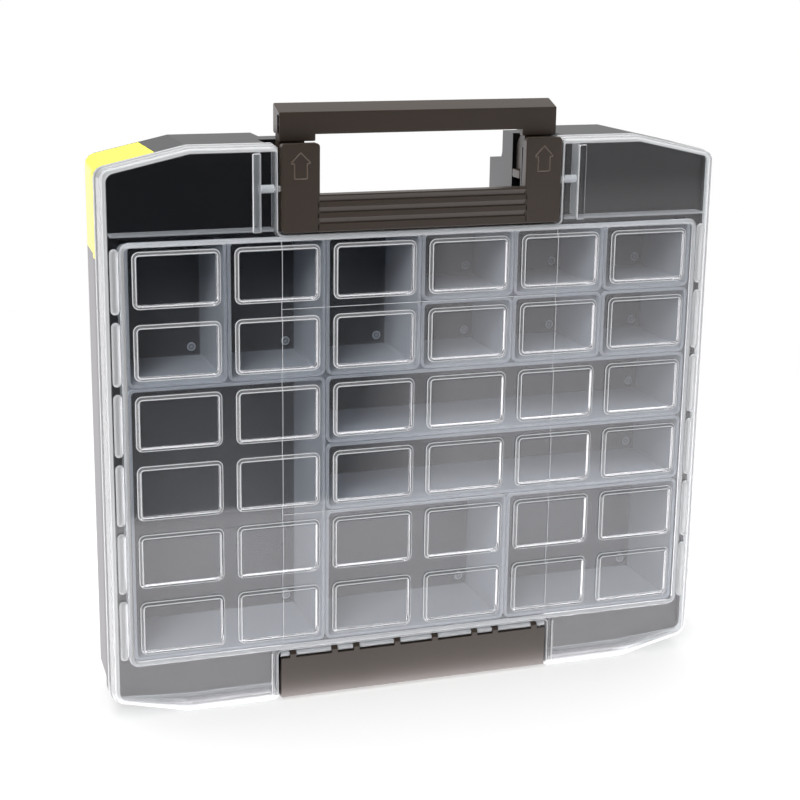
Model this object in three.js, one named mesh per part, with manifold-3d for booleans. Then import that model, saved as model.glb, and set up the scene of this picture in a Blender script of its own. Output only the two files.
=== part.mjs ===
// A flat carrying case for small parts: a coloured tray holding loose clear compartments, closed by a clear
// lid with raised windows, and carried by a handle that draws out of its top edge.
// The case stands on its hinge edge, as it is carried. Millimetres, +Z up, X to the right of someone who
// looks at the lid, and the lid faces -Y. The origin is the middle of the bottom edge's underside.

import * as THREE from 'three';
import { mergeVertices } from 'three/addons/utils/BufferGeometryUtils.js';
import Module from 'manifold-3d';

const wasm = await Module();
wasm.setup();

// Case outline, seen from the front
const caseWidth = 460;
const topBandHeight = 64.1;
const caseDepth = 78;
const topFlatWidth = 334;
const topSlopeDrop = 14;
const bottomFlatWidth = 348;
const bottomSlopeRise = 13;
const caseCornerRadius = 8;
const slopeCornerRadius = 5;

// Compartment grid
const columns = 6;
const rows = 6;
const columnPitch = 71;
const rowPitch = 50.3;
const gridCentreHeight = 194.5;

// Lid
const lidWall = 2;
const lidDepth = 14;
const lidDraft = 2;
const lidEdgeRadius = 3.5;
const seamGap = 0.3;
const windowRise = 2;
const windowWidth = 61.6;
const windowHeight = 40.2;
const windowCornerRadius = 5;
const windowSlope = 2.6;
const windowInnerGap = 1;
const beadWidth = 6.5;
const beadHeight = 1.7;
const beadInset = 10;
const beadNotch = 5;
const sideRibWidth = 1.6;
const sideRibHeight = 1.5;
const topRibGap = 10.5;
const topRibWidth = 6;
const lowRibGap = 2;
const ribEndMargin = 6;

// Tray
const trayWall = 2.5;
const traySideDraft = 2.5;
const trayFlangeDepth = 8;
const traySideStep = 2;
const trayBackChamfer = 1.2;
const wellClearance = 0.8;
const wellWall = 2;
const rimHeight = 2.5;
const rimWall = 1.6;
const rimClearance = 1;
const bandRibWall = 1.6;
const bandRibs = 6;

// Loose compartments
const insertGap = 0.6;
const insertWall = 1.2;
const insertLipWidth = 1.2;
const insertLipHeight = 3;
const insertDraft = 1.4;
const insertCornerRadius = 5;
const insertFloorChamfer = 2;
const lidToInsertGap = 0.4;
const floorGap = 0.3;

// Handle bay in the top edge
const bayHalfWidth = 79.7;
const bayDepth = 51.5;
const bayShoulderDrop = 8.5;
const bayShoulderHalfWidth = 100;
const bayChamferRun = 12;
const backStepHalfWidth = 91.5;
const backStepDepth = 24;
const backStepDrop = 22.5;
const backStepRadius = 8;
const backChamferRun = 15;
const backChamferDrop = 7;

// Handle
const handleHalfLength = 103;
const handleGripRise = 5.5;
const handleFaceHeight = 15.4;
const handleTopRise = 7;
const handleDepth = 16.6;
const handleSetBack = 8;
const handleEdgeRadius = 1.2;
const handleRearRadius = 2;
const handleKnuckleWidth = 26;
const handleKnuckleDepth = 5.9;
const handleKnuckleDrop = 4.6;
const handleGussetDrop = 5.5;
const handleGussetFoot = 13;
const handleLegWidth = 19;
const handleLegDepth = 15.2;
const handleLegFar = 101.4;
const handleLegLength = 37;
const handleFootHeight = 6;
const handleFootStep = 3;
const handleClearance = 0.4;
const channelDepth = 24;
const channelFrontWall = 2;

// Latch
const latchHalfWidth = 104;
const latchArmWidth = 27.5;
const latchTopRise = 0.5;
const latchAboveGrid = 3.1;
const latchBarHeight = 26;
const latchThickness = 9;
const latchProud = 1.5;
const latchWall = 2.4;
const latchSideGap = 1.5;
const latchBelowGap = 1;
const latchPivotRise = 30.5;
const latchTopDepth = 5.9;
const latchCornerRadius = 3;
const latchStepCount = 3;
const latchStepDepth = 1.2;
const latchStepPitch = 7.6;
const latchFirstStep = 4.8;
const latchHookWidth = 12;
const latchHookLength = 4.5;
const latchHookThickness = 2.4;
const latchHookNose = 1.6;
const hookSlotHeight = 7.2;
const hookSlotDepth = 1;
const stubRadius = 2.3;
const stubReach = 3;
const pivotClearance = 0.35;

// Hinge
const hingeHalfWidth = 105;
const hingeSideGap = 1.5;
const hingePlateTop = 33.2;
const hingePlateWall = 2.4;
const hingePlateBottom = 2.5;
const hingePlateProud = 0.5;
const hingeAxisHeight = 2.2;
const lowerKnuckleRadius = 2.1;
const lowerKnuckleLength = 27;
const lowerKnucklePitch = 28;
const lowerKnuckles = 7;
const lowerPinRadius = 0.9;
const upperKnuckleRadius = 2.1;
const upperKnuckleLength = 4.6;
const upperKnuckleGap = 0.5;
const upperPinRadius = 0.9;
const upperAxisHeight = 36;
const upperKnucklePlaces = [15, 47, 64, 96];
const pinClearance = 0.3;
const knuckleClearance = 0.4;
const hingeRibWall = 2;
const hingeRibs = 6;
const lipReach = 5;
const lipLength = 4.6;
const lipHeight = 1.9;
const reliefOverreach = 15;
const lipClearance = 0.6;

// Corner clip
const clipWall = 1.6;
const clipGap = 0.3;
const clipEndAlongTop = 42;
const clipEndBelowTop = 76;
const clipBackMargin = 2.5;
const clipSeamMargin = 1.2;
const clipBandWidth = 9;

// Facets and cutting overrun
const arcSteps = 3;
const edgeSteps = 2;
const beadSteps = 6;
const windowArcSteps = 2;
const roundSides = 12;
const overrun = 2;

// Levels from front to back, worked out from the sizes
const yWindow = -caseDepth / 2;
const yLidFace = yWindow + windowRise;
const yLidInner = yLidFace + lidWall;
const ySeam = yLidFace + lidDepth;
const yTray = ySeam + seamGap;
const yBack = caseDepth / 2;
const yFloor = yBack - trayWall;
const yAxis = ySeam;
const gridHalfWidth = columns * columnPitch / 2;
const gridHalfHeight = rows * rowPitch / 2;
const gridTop = gridCentreHeight + gridHalfHeight;
const gridBottom = gridCentreHeight - gridHalfHeight;
const caseHeight = gridTop + topBandHeight;

// Heights in the band above the grid
const bayFloorHeight = caseHeight - bayDepth;
const bayShoulderHeight = caseHeight - bayShoulderDrop;
const backStepHeight = caseHeight - backStepDrop;
const handleGripBottom = caseHeight + handleGripRise;
const handleLegBottom = handleGripBottom - handleLegLength;
const latchTop = caseHeight + latchTopRise;
const latchBottom = gridTop + latchAboveGrid;
const latchBarTop = latchBottom + latchBarHeight;
const latchPivotHeight = latchBottom + latchPivotRise;

const colours = {
  tray: { color: 0x3f4048, roughness: 0.55, metalness: 0 },
  clear: { color: 0xe6eaec, roughness: 0.08, metalness: 0, transparent: true, opacity: 0.35 },
  insert: { color: 0xc3c6cd, roughness: 0.45, metalness: 0 },
  brown: { color: 0x453a33, roughness: 0.5, metalness: 0 },
  yellow: { color: 0xe6e632, roughness: 0.5, metalness: 0 },
  steel: { color: 0xb9bbbd, roughness: 0.3, metalness: 1 },
};

// Turns a three.js geometry into a solid for joining and cutting
function toSolid(geometry) {
  const bare = geometry.clone();
  bare.deleteAttribute('normal');
  bare.deleteAttribute('uv');
  const merged = mergeVertices(bare, 1e-4);
  const mesh = new wasm.Mesh({
    numProp: 3,
    vertProperties: new Float32Array(merged.attributes.position.array),
    triVerts: new Uint32Array(merged.index.array),
  });
  return new wasm.Manifold(mesh);
}

// Turns a solid back into a named mesh with its own material
function toMesh(name, solid, look) {
  const data = solid.getMesh();
  const geometry = new THREE.BufferGeometry();
  const positions = new Float32Array(data.vertProperties);
  geometry.setAttribute('position', new THREE.BufferAttribute(positions, 3));
  geometry.setIndex(new THREE.BufferAttribute(new Uint32Array(data.triVerts), 1));
  const flat = geometry.toNonIndexed();
  flat.computeVertexNormals();
  const mesh = new THREE.Mesh(flat, new THREE.MeshStandardMaterial(look));
  mesh.name = name;
  return mesh;
}

function join(solids) {
  return wasm.Manifold.union(solids);
}

// A prism along Y: the outline's points are [x, z]
function prismY(points, y0, y1) {
  const shape = new THREE.Shape(points.map(([x, z]) => new THREE.Vector2(x, z)));
  const geometry = new THREE.ExtrudeGeometry(shape, { depth: y1 - y0, bevelEnabled: false });
  geometry.rotateX(Math.PI / 2);
  geometry.translate(0, y1, 0);
  return toSolid(geometry);
}

// A prism along X: the outline's points are [y, z]
function prismX(points, x0, x1) {
  const shape = new THREE.Shape(points.map(([y, z]) => new THREE.Vector2(y, z)));
  const geometry = new THREE.ExtrudeGeometry(shape, { depth: x1 - x0, bevelEnabled: false });
  const turn = new THREE.Matrix4().makeBasis(
    new THREE.Vector3(0, 1, 0), new THREE.Vector3(0, 0, 1), new THREE.Vector3(1, 0, 0));
  geometry.applyMatrix4(turn);
  geometry.translate(x0, 0, 0);
  return toSolid(geometry);
}

// A prism along Z: the outline's points are [x, y]
function prismZ(points, z0, z1) {
  const shape = new THREE.Shape(points.map(([x, y]) => new THREE.Vector2(x, y)));
  const geometry = new THREE.ExtrudeGeometry(shape, { depth: z1 - z0, bevelEnabled: false });
  geometry.translate(0, 0, z0);
  return toSolid(geometry);
}

function block(x0, x1, y0, y1, z0, z1) {
  const geometry = new THREE.BoxGeometry(x1 - x0, y1 - y0, z1 - z0);
  geometry.translate((x0 + x1) / 2, (y0 + y1) / 2, (z0 + z1) / 2);
  return toSolid(geometry);
}

// A round rod along X
function rod(radius, x0, x1, y, z) {
  const geometry = new THREE.CylinderGeometry(radius, radius, x1 - x0, roundSides);
  geometry.rotateZ(Math.PI / 2);
  geometry.translate((x0 + x1) / 2, y, z);
  return toSolid(geometry);
}

// Rounds the corners of a polygon: each corner is [x, z, radius], and every arc has the same steps
function rounded(corners, steps = arcSteps) {
  const points = [];
  corners.forEach(([x, z, radius], i) => {
    const before = corners[(i + corners.length - 1) % corners.length];
    const after = corners[(i + 1) % corners.length];
    const corner = new THREE.Vector2(x, z);
    const toBefore = new THREE.Vector2(before[0], before[1]).sub(corner).normalize();
    const toAfter = new THREE.Vector2(after[0], after[1]).sub(corner).normalize();
    const half = Math.acos(THREE.MathUtils.clamp(toBefore.dot(toAfter), -1, 1)) / 2;
    const centre = corner.clone().add(
      toBefore.clone().add(toAfter).normalize().multiplyScalar(radius / Math.sin(half)));
    const start = corner.clone().addScaledVector(toBefore, radius / Math.tan(half)).sub(centre);
    const sweep = Math.PI - 2 * half;
    const turn = toBefore.cross(toAfter) > 0 ? -sweep : sweep;
    for (let k = 0; k <= steps; k += 1) {
      const spoke = start.clone().rotateAround(new THREE.Vector2(0, 0), turn * k / steps);
      points.push([centre.x + spoke.x, centre.y + spoke.y]);
    }
  });
  return points;
}

function roundedRect(cx, cz, width, height, radius, steps = arcSteps) {
  const x = width / 2;
  const z = height / 2;
  return rounded([
    [cx - x, cz - z, radius],
    [cx + x, cz - z, radius],
    [cx + x, cz + z, radius],
    [cx - x, cz + z, radius],
  ], steps);
}

// A closed solid through rings of equal counts of [x, z] points, each ring at its own y.
// The first and the last ring are capped, and the order of the rings may run outside and then back inside.
function loft(rings) {
  const count = rings[0].points.length;
  const positions = [];
  rings.forEach((ring) => ring.points.forEach(([x, z]) => positions.push(x, ring.y, z)));
  const index = [];
  for (let r = 0; r + 1 < rings.length; r += 1) {
    for (let i = 0; i < count; i += 1) {
      const j = (i + 1) % count;
      const a = r * count + i;
      const b = r * count + j;
      index.push(a, b, b + count, a, b + count, a + count);
    }
  }
  const cap = (ring, offset, flip) => {
    const outline = ring.points.map(([x, z]) => new THREE.Vector2(x, z));
    THREE.ShapeUtils.triangulateShape(outline, []).forEach(([a, b, c]) => {
      if (flip) index.push(offset + a, offset + c, offset + b);
      else index.push(offset + a, offset + b, offset + c);
    });
  };
  cap(rings[0], 0, true);
  cap(rings[rings.length - 1], (rings.length - 1) * count, false);
  const geometry = new THREE.BufferGeometry();
  geometry.setAttribute('position', new THREE.Float32BufferAttribute(positions, 3));
  geometry.setIndex(signedVolume(positions, index) < 0 ? turned(index) : index);
  return toSolid(geometry);
}

function signedVolume(positions, index) {
  const corner = (i) => new THREE.Vector3().fromArray(positions, 3 * i);
  let total = 0;
  for (let i = 0; i < index.length; i += 3) {
    total += corner(index[i]).dot(corner(index[i + 1]).cross(corner(index[i + 2])));
  }
  return total;
}

function turned(index) {
  const out = [];
  for (let i = 0; i < index.length; i += 3) out.push(index[i], index[i + 2], index[i + 1]);
  return out;
}

// The case outline drawn in by an inset all round, and by a further one at its two sides
function caseOutline(inset, sideInset) {
  const half = caseWidth / 2 - inset - sideInset;
  const top = caseHeight - inset;
  const topSlope = Math.atan2(topSlopeDrop, (caseWidth - topFlatWidth) / 2);
  const bottomSlope = Math.atan2(bottomSlopeRise, (caseWidth - bottomFlatWidth) / 2);
  const topFlat = topFlatWidth / 2 - inset * Math.tan(topSlope / 2);
  const bottomFlat = bottomFlatWidth / 2 - inset * Math.tan(bottomSlope / 2);
  const topSide = top - (half - topFlat) * Math.tan(topSlope);
  const bottomSide = inset + (half - bottomFlat) * Math.tan(bottomSlope);
  const corner = Math.max(caseCornerRadius - inset, lidWall);
  return rounded([
    [-bottomFlat, inset, slopeCornerRadius],
    [bottomFlat, inset, slopeCornerRadius],
    [half, bottomSide, corner],
    [half, topSide, corner],
    [topFlat, top, slopeCornerRadius],
    [-topFlat, top, slopeCornerRadius],
    [-half, topSide, corner],
    [-half, bottomSide, corner],
  ]);
}

function bothSides(make) {
  return join([-1, 1].map(make));
}

// A block given by its distance from the middle plane, on one side of it
function sideBlock(side, near, far, y0, y1, z0, z1) {
  return side < 0 ? block(-far, -near, y0, y1, z0, z1) : block(near, far, y0, y1, z0, z1);
}

// Lid: a shallow clear shell with raised windows
function windowCentres() {
  const centres = [];
  for (let row = 0; row < rows; row += 1) {
    for (let column = 0; column < columns; column += 1) {
      centres.push([
        (column + 0.5) * columnPitch - gridHalfWidth,
        gridTop - (row + 0.5) * rowPitch,
      ]);
    }
  }
  return centres;
}

function windowPad([x, z], inset, yRoot, yTop) {
  const ring = (drawn, y) => ({
    y,
    points: roundedRect(x, z, windowWidth - 2 * drawn, windowHeight - 2 * drawn,
      windowCornerRadius - drawn / 2, windowArcSteps),
  });
  return loft([ring(inset, yRoot + lidWall / 2), ring(inset, yRoot), ring(inset + windowSlope, yTop)]);
}

function lidBody(inset, yFront, yRear) {
  const edge = lidEdgeRadius - inset;
  const rings = [{ y: yRear, points: caseOutline(inset, 0) }];
  for (let k = 0; k <= edgeSteps; k += 1) {
    const angle = Math.PI / 2 * k / edgeSteps;
    rings.push({
      y: yFront + edge * (1 - Math.sin(angle)),
      points: caseOutline(inset + edge * (1 - Math.cos(angle)), lidDraft),
    });
  }
  return loft(rings);
}

// The bead's section is an arc of a circle on the lid's face
function beads(shrink) {
  const solids = [];
  const half = beadWidth / 2 - shrink;
  const yRoot = yLidFace + shrink;
  const section = (x) => {
    const points = [[x - half, yRoot + lidWall / 2], [x - half, yRoot]];
    for (let k = 1; k < beadSteps; k += 1) {
      const angle = Math.PI * k / beadSteps;
      points.push([x - half * Math.cos(angle), yRoot - beadHeight * Math.sin(angle)]);
    }
    points.push([x + half, yRoot], [x + half, yRoot + lidWall / 2]);
    return points;
  };
  for (const side of [-1, 1]) {
    for (let row = 0; row < rows; row += 1) {
      const low = gridBottom + row * rowPitch + beadNotch / 2 + shrink;
      solids.push(prismZ(section(side * (caseWidth / 2 - beadInset)), low,
        low + rowPitch - beadNotch - 2 * shrink));
    }
  }
  return join(solids);
}

const latchCutHalfWidth = latchHalfWidth + latchSideGap;
const latchCutFloor = latchBottom - latchBelowGap;
const hingeCutHalfWidth = hingeHalfWidth + hingeSideGap;
const hingeCutTop = upperAxisHeight + upperKnuckleRadius + knuckleClearance;
const latchAxisY = yLidFace - latchProud + latchThickness / 2;
const upperAxisY = yLidFace + upperKnuckleRadius;

function upperBarrels() {
  const edges = [-hingeHalfWidth];
  const places = [...upperKnucklePlaces].reverse().map((x) => -x).concat(upperKnucklePlaces);
  places.forEach((x) => {
    const half = upperKnuckleLength / 2 + upperKnuckleGap;
    edges.push(x - half, x + half);
  });
  edges.push(hingeHalfWidth);
  const solids = [];
  for (let i = 0; i < edges.length; i += 2) {
    solids.push(rod(upperKnuckleRadius, edges[i], edges[i + 1], upperAxisY, upperAxisHeight));
    solids.push(block(edges[i], edges[i + 1], yLidFace, upperAxisY + upperKnuckleRadius / 2,
      upperAxisHeight, hingeCutTop + lidWall / 2));
  }
  const bore = rod(upperPinRadius + pinClearance, -hingeHalfWidth - overrun, hingeHalfWidth + overrun,
    upperAxisY, upperAxisHeight);
  return join(solids).subtract(bore);
}

function cornerRibs() {
  const solids = [];
  for (const side of [-1, 1]) {
    const topRib = latchCutHalfWidth + lidWall + topRibGap;
    solids.push(sideBlock(side, topRib, topRib + topRibWidth,
      yLidFace - sideRibHeight, yLidFace + lidWall / 2, latchCutFloor, caseHeight - ribEndMargin));
    const lowRib = hingeCutHalfWidth + lidWall + lowRibGap;
    solids.push(sideBlock(side, lowRib, lowRib + sideRibWidth,
      yLidFace - sideRibHeight, yLidFace + lidWall / 2, ribEndMargin, hingeCutTop));
  }
  return join(solids);
}

function makeLid() {
  const outer = lidBody(0, yLidFace, ySeam);
  const latchKeep = block(-latchCutHalfWidth - lidWall, latchCutHalfWidth + lidWall,
    yLidFace, ySeam + overrun, latchCutFloor - lidWall, caseHeight + overrun);
  const hingeKeep = block(-hingeCutHalfWidth - lidWall, hingeCutHalfWidth + lidWall,
    yLidFace, ySeam + overrun, -overrun, hingeCutTop + lidWall);
  const inner = lidBody(lidWall, yLidInner, ySeam + overrun).subtract(latchKeep).subtract(hingeKeep);
  const latchCut = block(-latchCutHalfWidth, latchCutHalfWidth,
    yLidFace - overrun, ySeam + overrun, latchCutFloor, caseHeight + overrun);
  const hingeCut = block(-hingeCutHalfWidth, hingeCutHalfWidth,
    yLidFace - overrun, ySeam + overrun, -overrun, hingeCutTop);
  const pads = join(windowCentres().map((centre) => windowPad(centre, 0, yLidFace, yWindow)));
  const hollows = join(windowCentres().map(
    (centre) => windowPad(centre, windowInnerGap, yLidInner, yWindow + lidWall)));
  const stubs = bothSides((side) => {
    const near = latchHalfWidth - stubReach;
    const far = latchCutHalfWidth + lidWall + topRibGap;
    return side < 0 ? rod(stubRadius, -far, -near, latchAxisY, latchPivotHeight)
      : rod(stubRadius, near, far, latchAxisY, latchPivotHeight);
  });
  const reliefHalf = bottomFlatWidth / 2 + reliefOverreach;
  const swingRelief = rod(lipReach + lipClearance, -reliefHalf, reliefHalf, yAxis, hingeAxisHeight);
  const shell = join([outer, pads, beads(0), cornerRibs()])
    .subtract(join([inner, hollows, beads(windowInnerGap), latchCut, hingeCut]));
  return shell.subtract(swingRelief).add(stubs).add(upperBarrels());
}

// Tray: outer walls, a deck at the seam, and a well for the compartments with its floor at the back
function trayOuter() {
  const flangeEnd = yTray + trayFlangeDepth;
  const rings = [
    { y: yTray, points: caseOutline(0, 0) },
    { y: flangeEnd, points: caseOutline(0, 0) },
    { y: flangeEnd + traySideStep, points: caseOutline(0, traySideStep) },
    { y: yBack - trayBackChamfer, points: caseOutline(0, traySideStep + traySideDraft) },
    { y: yBack, points: caseOutline(trayBackChamfer, traySideStep + traySideDraft) },
  ];
  return loft(rings);
}

const wellHalfWidth = gridHalfWidth + wellClearance;
const wellHalfHeight = gridHalfHeight + wellClearance;

// The hollow band round the well, open at the back and crossed by ribs
function bandHollow() {
  const yDeck = yTray + trayWall;
  const body = loft([
    { y: yDeck, points: caseOutline(trayWall, 0) },
    { y: yTray + trayFlangeDepth, points: caseOutline(trayWall, 0) },
    { y: yTray + trayFlangeDepth + traySideStep, points: caseOutline(trayWall, traySideStep) },
    { y: yBack + overrun, points: caseOutline(trayWall, traySideStep + traySideDraft) },
  ]);
  const wellOuter = block(-wellHalfWidth - wellWall, wellHalfWidth + wellWall, yTray, yBack + 2 * overrun,
    gridCentreHeight - wellHalfHeight - wellWall, gridCentreHeight + wellHalfHeight + wellWall);
  const bayWalls = bayKeep();
  return body.subtract(wellOuter).subtract(bayWalls).subtract(bandRibSet());
}

function bandRibSet() {
  const solids = [];
  const yRear = yBack - trayBackChamfer;
  for (const side of [-1, 1]) {
    for (let k = 0; k < bandRibs; k += 1) {
      const x = caseWidth / 2 * k / bandRibs;
      solids.push(sideBlock(side, x - bandRibWall / 2, x + bandRibWall / 2, yTray, yRear, 0, caseHeight));
    }
    for (let k = 1; k < rows; k += 1) {
      const z = gridBottom + k * rowPitch;
      solids.push(sideBlock(side, wellHalfWidth, caseWidth / 2, yTray, yRear,
        z - bandRibWall / 2, z + bandRibWall / 2));
    }
  }
  return join(solids);
}

const legFar = handleLegFar;
const legNear = legFar - handleLegWidth;
const yLegFront = yTray + channelFrontWall + handleClearance;
const yLegRear = yLegFront + handleLegDepth;
const legSeatHeight = handleLegBottom + handleFootHeight + handleClearance;
const channelFloor = handleLegBottom - channelDepth - handleClearance;

// Solid material kept round the handle bay and its two channels
function bayKeep() {
  const walls = block(-bayHalfWidth - trayWall, bayHalfWidth + trayWall, yTray, yBack + 2 * overrun,
    bayFloorHeight - trayWall, caseHeight);
  const channels = bothSides((side) => sideBlock(side, legNear - handleFootStep - 2 * trayWall,
    legFar + handleFootStep + trayWall, yTray, yLegRear + handleClearance + trayWall,
    gridTop, caseHeight));
  const shoulders = bothSides((side) => sideBlock(side, bayHalfWidth - trayWall,
    bayShoulderHalfWidth + bayChamferRun + trayWall, yTray, yBack + 2 * overrun,
    backStepHeight - backStepRadius - trayWall, caseHeight));
  return join([walls, channels, shoulders]);
}

// A cut across the top edge, level in the middle and sloping up to the edge at both ends
function topDip(halfWidth, run, height, y0, y1) {
  return prismY([
    [-halfWidth - run, caseHeight + overrun],
    [-halfWidth - run, caseHeight],
    [-halfWidth, height],
    [halfWidth, height],
    [halfWidth + run, caseHeight],
    [halfWidth + run, caseHeight + overrun],
  ], y0, y1);
}

// Everything cut out of the top edge for the handle, its legs and the latch
function bayCut() {
  const opening = block(-bayHalfWidth, bayHalfWidth, yTray - overrun, yBack + overrun,
    bayFloorHeight, caseHeight + overrun);
  const yFront = yLegFront - handleClearance;
  const yRear = yLegRear + handleClearance;
  const shoulder = topDip(bayShoulderHalfWidth, bayChamferRun, bayShoulderHeight, yTray - overrun, yRear);
  const curve = [];
  const yCurve = yBack - backStepDepth;
  for (let k = 0; k <= 2 * arcSteps; k += 1) {
    const angle = Math.PI / 2 * k / (2 * arcSteps);
    curve.push([
      yCurve + backStepRadius * (1 - Math.cos(angle)),
      backStepHeight + backStepRadius * (1 - Math.sin(angle)),
    ]);
  }
  const backStep = prismX([
    [yCurve, caseHeight + overrun],
    ...curve,
    [yBack + overrun, backStepHeight],
    [yBack + overrun, caseHeight + overrun],
  ], -backStepHalfWidth, backStepHalfWidth);
  const backDip = topDip(backStepHalfWidth, backChamferRun, caseHeight - backChamferDrop,
    yCurve, yBack + overrun);
  const channels = bothSides((side) => {
    const chamber = sideBlock(side, legNear - handleFootStep - handleClearance,
      legFar + handleFootStep + handleClearance, yFront, yRear, channelFloor, legSeatHeight);
    const mouth = sideBlock(side, legNear - handleClearance, legFar + handleClearance,
      yFront, yRear, channelFloor, caseHeight + overrun);
    const inward = sideBlock(side, bayHalfWidth - overrun, legNear, yFront, yRear,
      bayFloorHeight, caseHeight + overrun);
    return join([chamber, mouth, inward]);
  });
  return join([opening, shoulder, backStep, backDip, channels]);
}

function trayRim() {
  const inset = lidWall + rimClearance;
  const ringAt = (drawn) => loft([
    { y: yTray - rimHeight, points: caseOutline(drawn, 0) },
    { y: yTray + trayWall / 2, points: caseOutline(drawn, 0) },
  ]);
  const latchZone = latchCutHalfWidth + lidWall + rimClearance;
  const keepOut = join([
    block(-latchZone, latchZone, yTray - rimHeight - overrun, yTray + trayWall,
      gridTop, caseHeight + overrun),
    block(-caseWidth, caseWidth, yTray - rimHeight - overrun, yTray + trayWall, -overrun,
      bottomSlopeRise + lipReach),
  ]);
  return ringAt(inset).subtract(ringAt(inset + rimWall)).subtract(keepOut);
}

function isTrayKnuckle(k) {
  return k % 2 === 0;
}

function lowerKnuckleCentre(k) {
  return (k - (lowerKnuckles - 1) / 2) * lowerKnucklePitch;
}

function lowerKnuckleRods(own) {
  const solids = [];
  for (let k = 0; k < lowerKnuckles; k += 1) {
    if (isTrayKnuckle(k) !== own) continue;
    const x = lowerKnuckleCentre(k);
    solids.push([x - lowerKnuckleLength / 2, x + lowerKnuckleLength / 2]);
  }
  return solids;
}

const lowerBore = () => rod(lowerPinRadius + pinClearance, -hingeHalfWidth - overrun,
  hingeHalfWidth + overrun, yAxis, hingeAxisHeight);

const yTrayHingeWall = yAxis + lowerKnuckleRadius + knuckleClearance;

function trayKnuckles() {
  return join(lowerKnuckleRods(true).map(([x0, x1]) => {
    const neck = block(x0, x1, yAxis, yTrayHingeWall + trayWall, hingeAxisHeight - lowerKnuckleRadius,
      hingeAxisHeight + lowerKnuckleRadius);
    return neck.add(rod(lowerKnuckleRadius, x0, x1, yAxis, hingeAxisHeight));
  }));
}

function makeTray() {
  const well = block(-wellHalfWidth, wellHalfWidth, yTray - overrun, yFloor,
    gridCentreHeight - wellHalfHeight, gridCentreHeight + wellHalfHeight);
  const hingeBay = block(-hingeCutHalfWidth, hingeCutHalfWidth, yTray - overrun, yTrayHingeWall,
    -overrun, hingeAxisHeight + lowerKnuckleRadius + knuckleClearance);
  const lipHalf = bottomFlatWidth / 2 - slopeCornerRadius;
  const lip = bothSides((side) => sideBlock(side, hingeCutHalfWidth, lipHalf,
    yAxis - lipLength, yTray + trayWall, 0, lipHeight));
  const hookSlots = bothSides((side) => {
    const x = latchHalfWidth - latchArmWidth / 2;
    return sideBlock(side, x - latchHookWidth / 2 - latchHookNose, x + latchHookWidth / 2 + latchHookNose,
      yTray - overrun, yTray + hookSlotDepth, latchBottom, latchBottom + hookSlotHeight);
  });
  return trayOuter().subtract(bandHollow()).subtract(well).subtract(bayCut()).subtract(hingeBay)
    .add(trayRim()).add(lip).add(trayKnuckles()).subtract(lowerBore()).subtract(hookSlots)
    .subtract(clipSeat());
}

// Corner clip: a bent strip snapped over the tray's upper left corner
const clipTopSide = caseHeight - topSlopeDrop;

function clipRegion(margin) {
  const half = caseWidth / 2;
  const along = half - clipEndAlongTop;
  const low = clipTopSide - clipEndBelowTop + topSlopeDrop;
  return prismY([
    [-half - overrun, low - margin],
    [-half + clipBandWidth, low - margin],
    [-half + clipBandWidth, clipTopSide - clipBandWidth],
    [-along + margin, clipTopSide - clipBandWidth],
    [-along + margin, caseHeight + overrun],
    [-half - overrun, caseHeight + overrun],
  ], yTray + clipSeamMargin - margin, yBack - clipBackMargin + margin);
}

function clipSkin(depth) {
  return trayOuter().subtract(trayCore(depth));
}

// The tray's outer form drawn in by a depth all round
function trayCore(depth) {
  const flangeEnd = yTray + trayFlangeDepth;
  return loft([
    { y: yTray - overrun, points: caseOutline(depth, 0) },
    { y: flangeEnd, points: caseOutline(depth, 0) },
    { y: flangeEnd + traySideStep, points: caseOutline(depth, traySideStep) },
    { y: yBack + overrun, points: caseOutline(depth, traySideStep + traySideDraft) },
  ]);
}

function clipSeat() {
  return clipSkin(clipWall + clipGap).intersect(clipRegion(clipGap));
}

function makeClip() {
  return clipSkin(clipWall).intersect(clipRegion(0));
}

// One loose compartment over whole cells of the grid, its mouth facing the lid
function makeInsert(column, row, across, down) {
  const cx = (column + across / 2) * columnPitch - gridHalfWidth;
  const cz = gridTop - (row + down / 2) * rowPitch;
  const width = across * columnPitch - insertGap;
  const height = down * rowPitch - insertGap;
  const yMouth = yLidInner + lidToInsertGap;
  const yFoot = yFloor - floorGap;
  const ring = (drawn, y) => ({
    y,
    points: roundedRect(cx, cz, width - 2 * drawn, height - 2 * drawn,
      Math.max(insertCornerRadius - drawn, insertWall)),
  });
  const body = insertLipWidth;
  const foot = insertLipWidth + insertDraft;
  return loft([
    ring(foot + insertFloorChamfer, yFoot),
    ring(foot, yFoot - insertFloorChamfer),
    ring(body, yMouth + insertLipHeight),
    ring(0, yMouth + insertLipHeight),
    ring(0, yMouth),
    ring(insertLipWidth + insertWall, yMouth),
    ring(foot + insertWall, yFoot - insertFloorChamfer),
    ring(foot + insertWall + insertFloorChamfer - insertWall / 2, yFoot - insertWall),
  ]);
}

// Each loose compartment's place in the grid, in cells: its first column and row, and how many it covers
const insertCellShares = [
  [0, 0, 1, 2], [1, 0, 1, 2], [2, 0, 1, 2],
  [3, 0, 1, 1], [4, 0, 1, 1], [5, 0, 1, 1],
  [3, 1, 1, 1], [4, 1, 1, 1], [5, 1, 1, 1],
  [0, 2, 2, 4],
  [2, 2, 4, 1], [2, 3, 4, 1],
  [2, 4, 2, 2], [4, 4, 2, 2],
];

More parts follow.
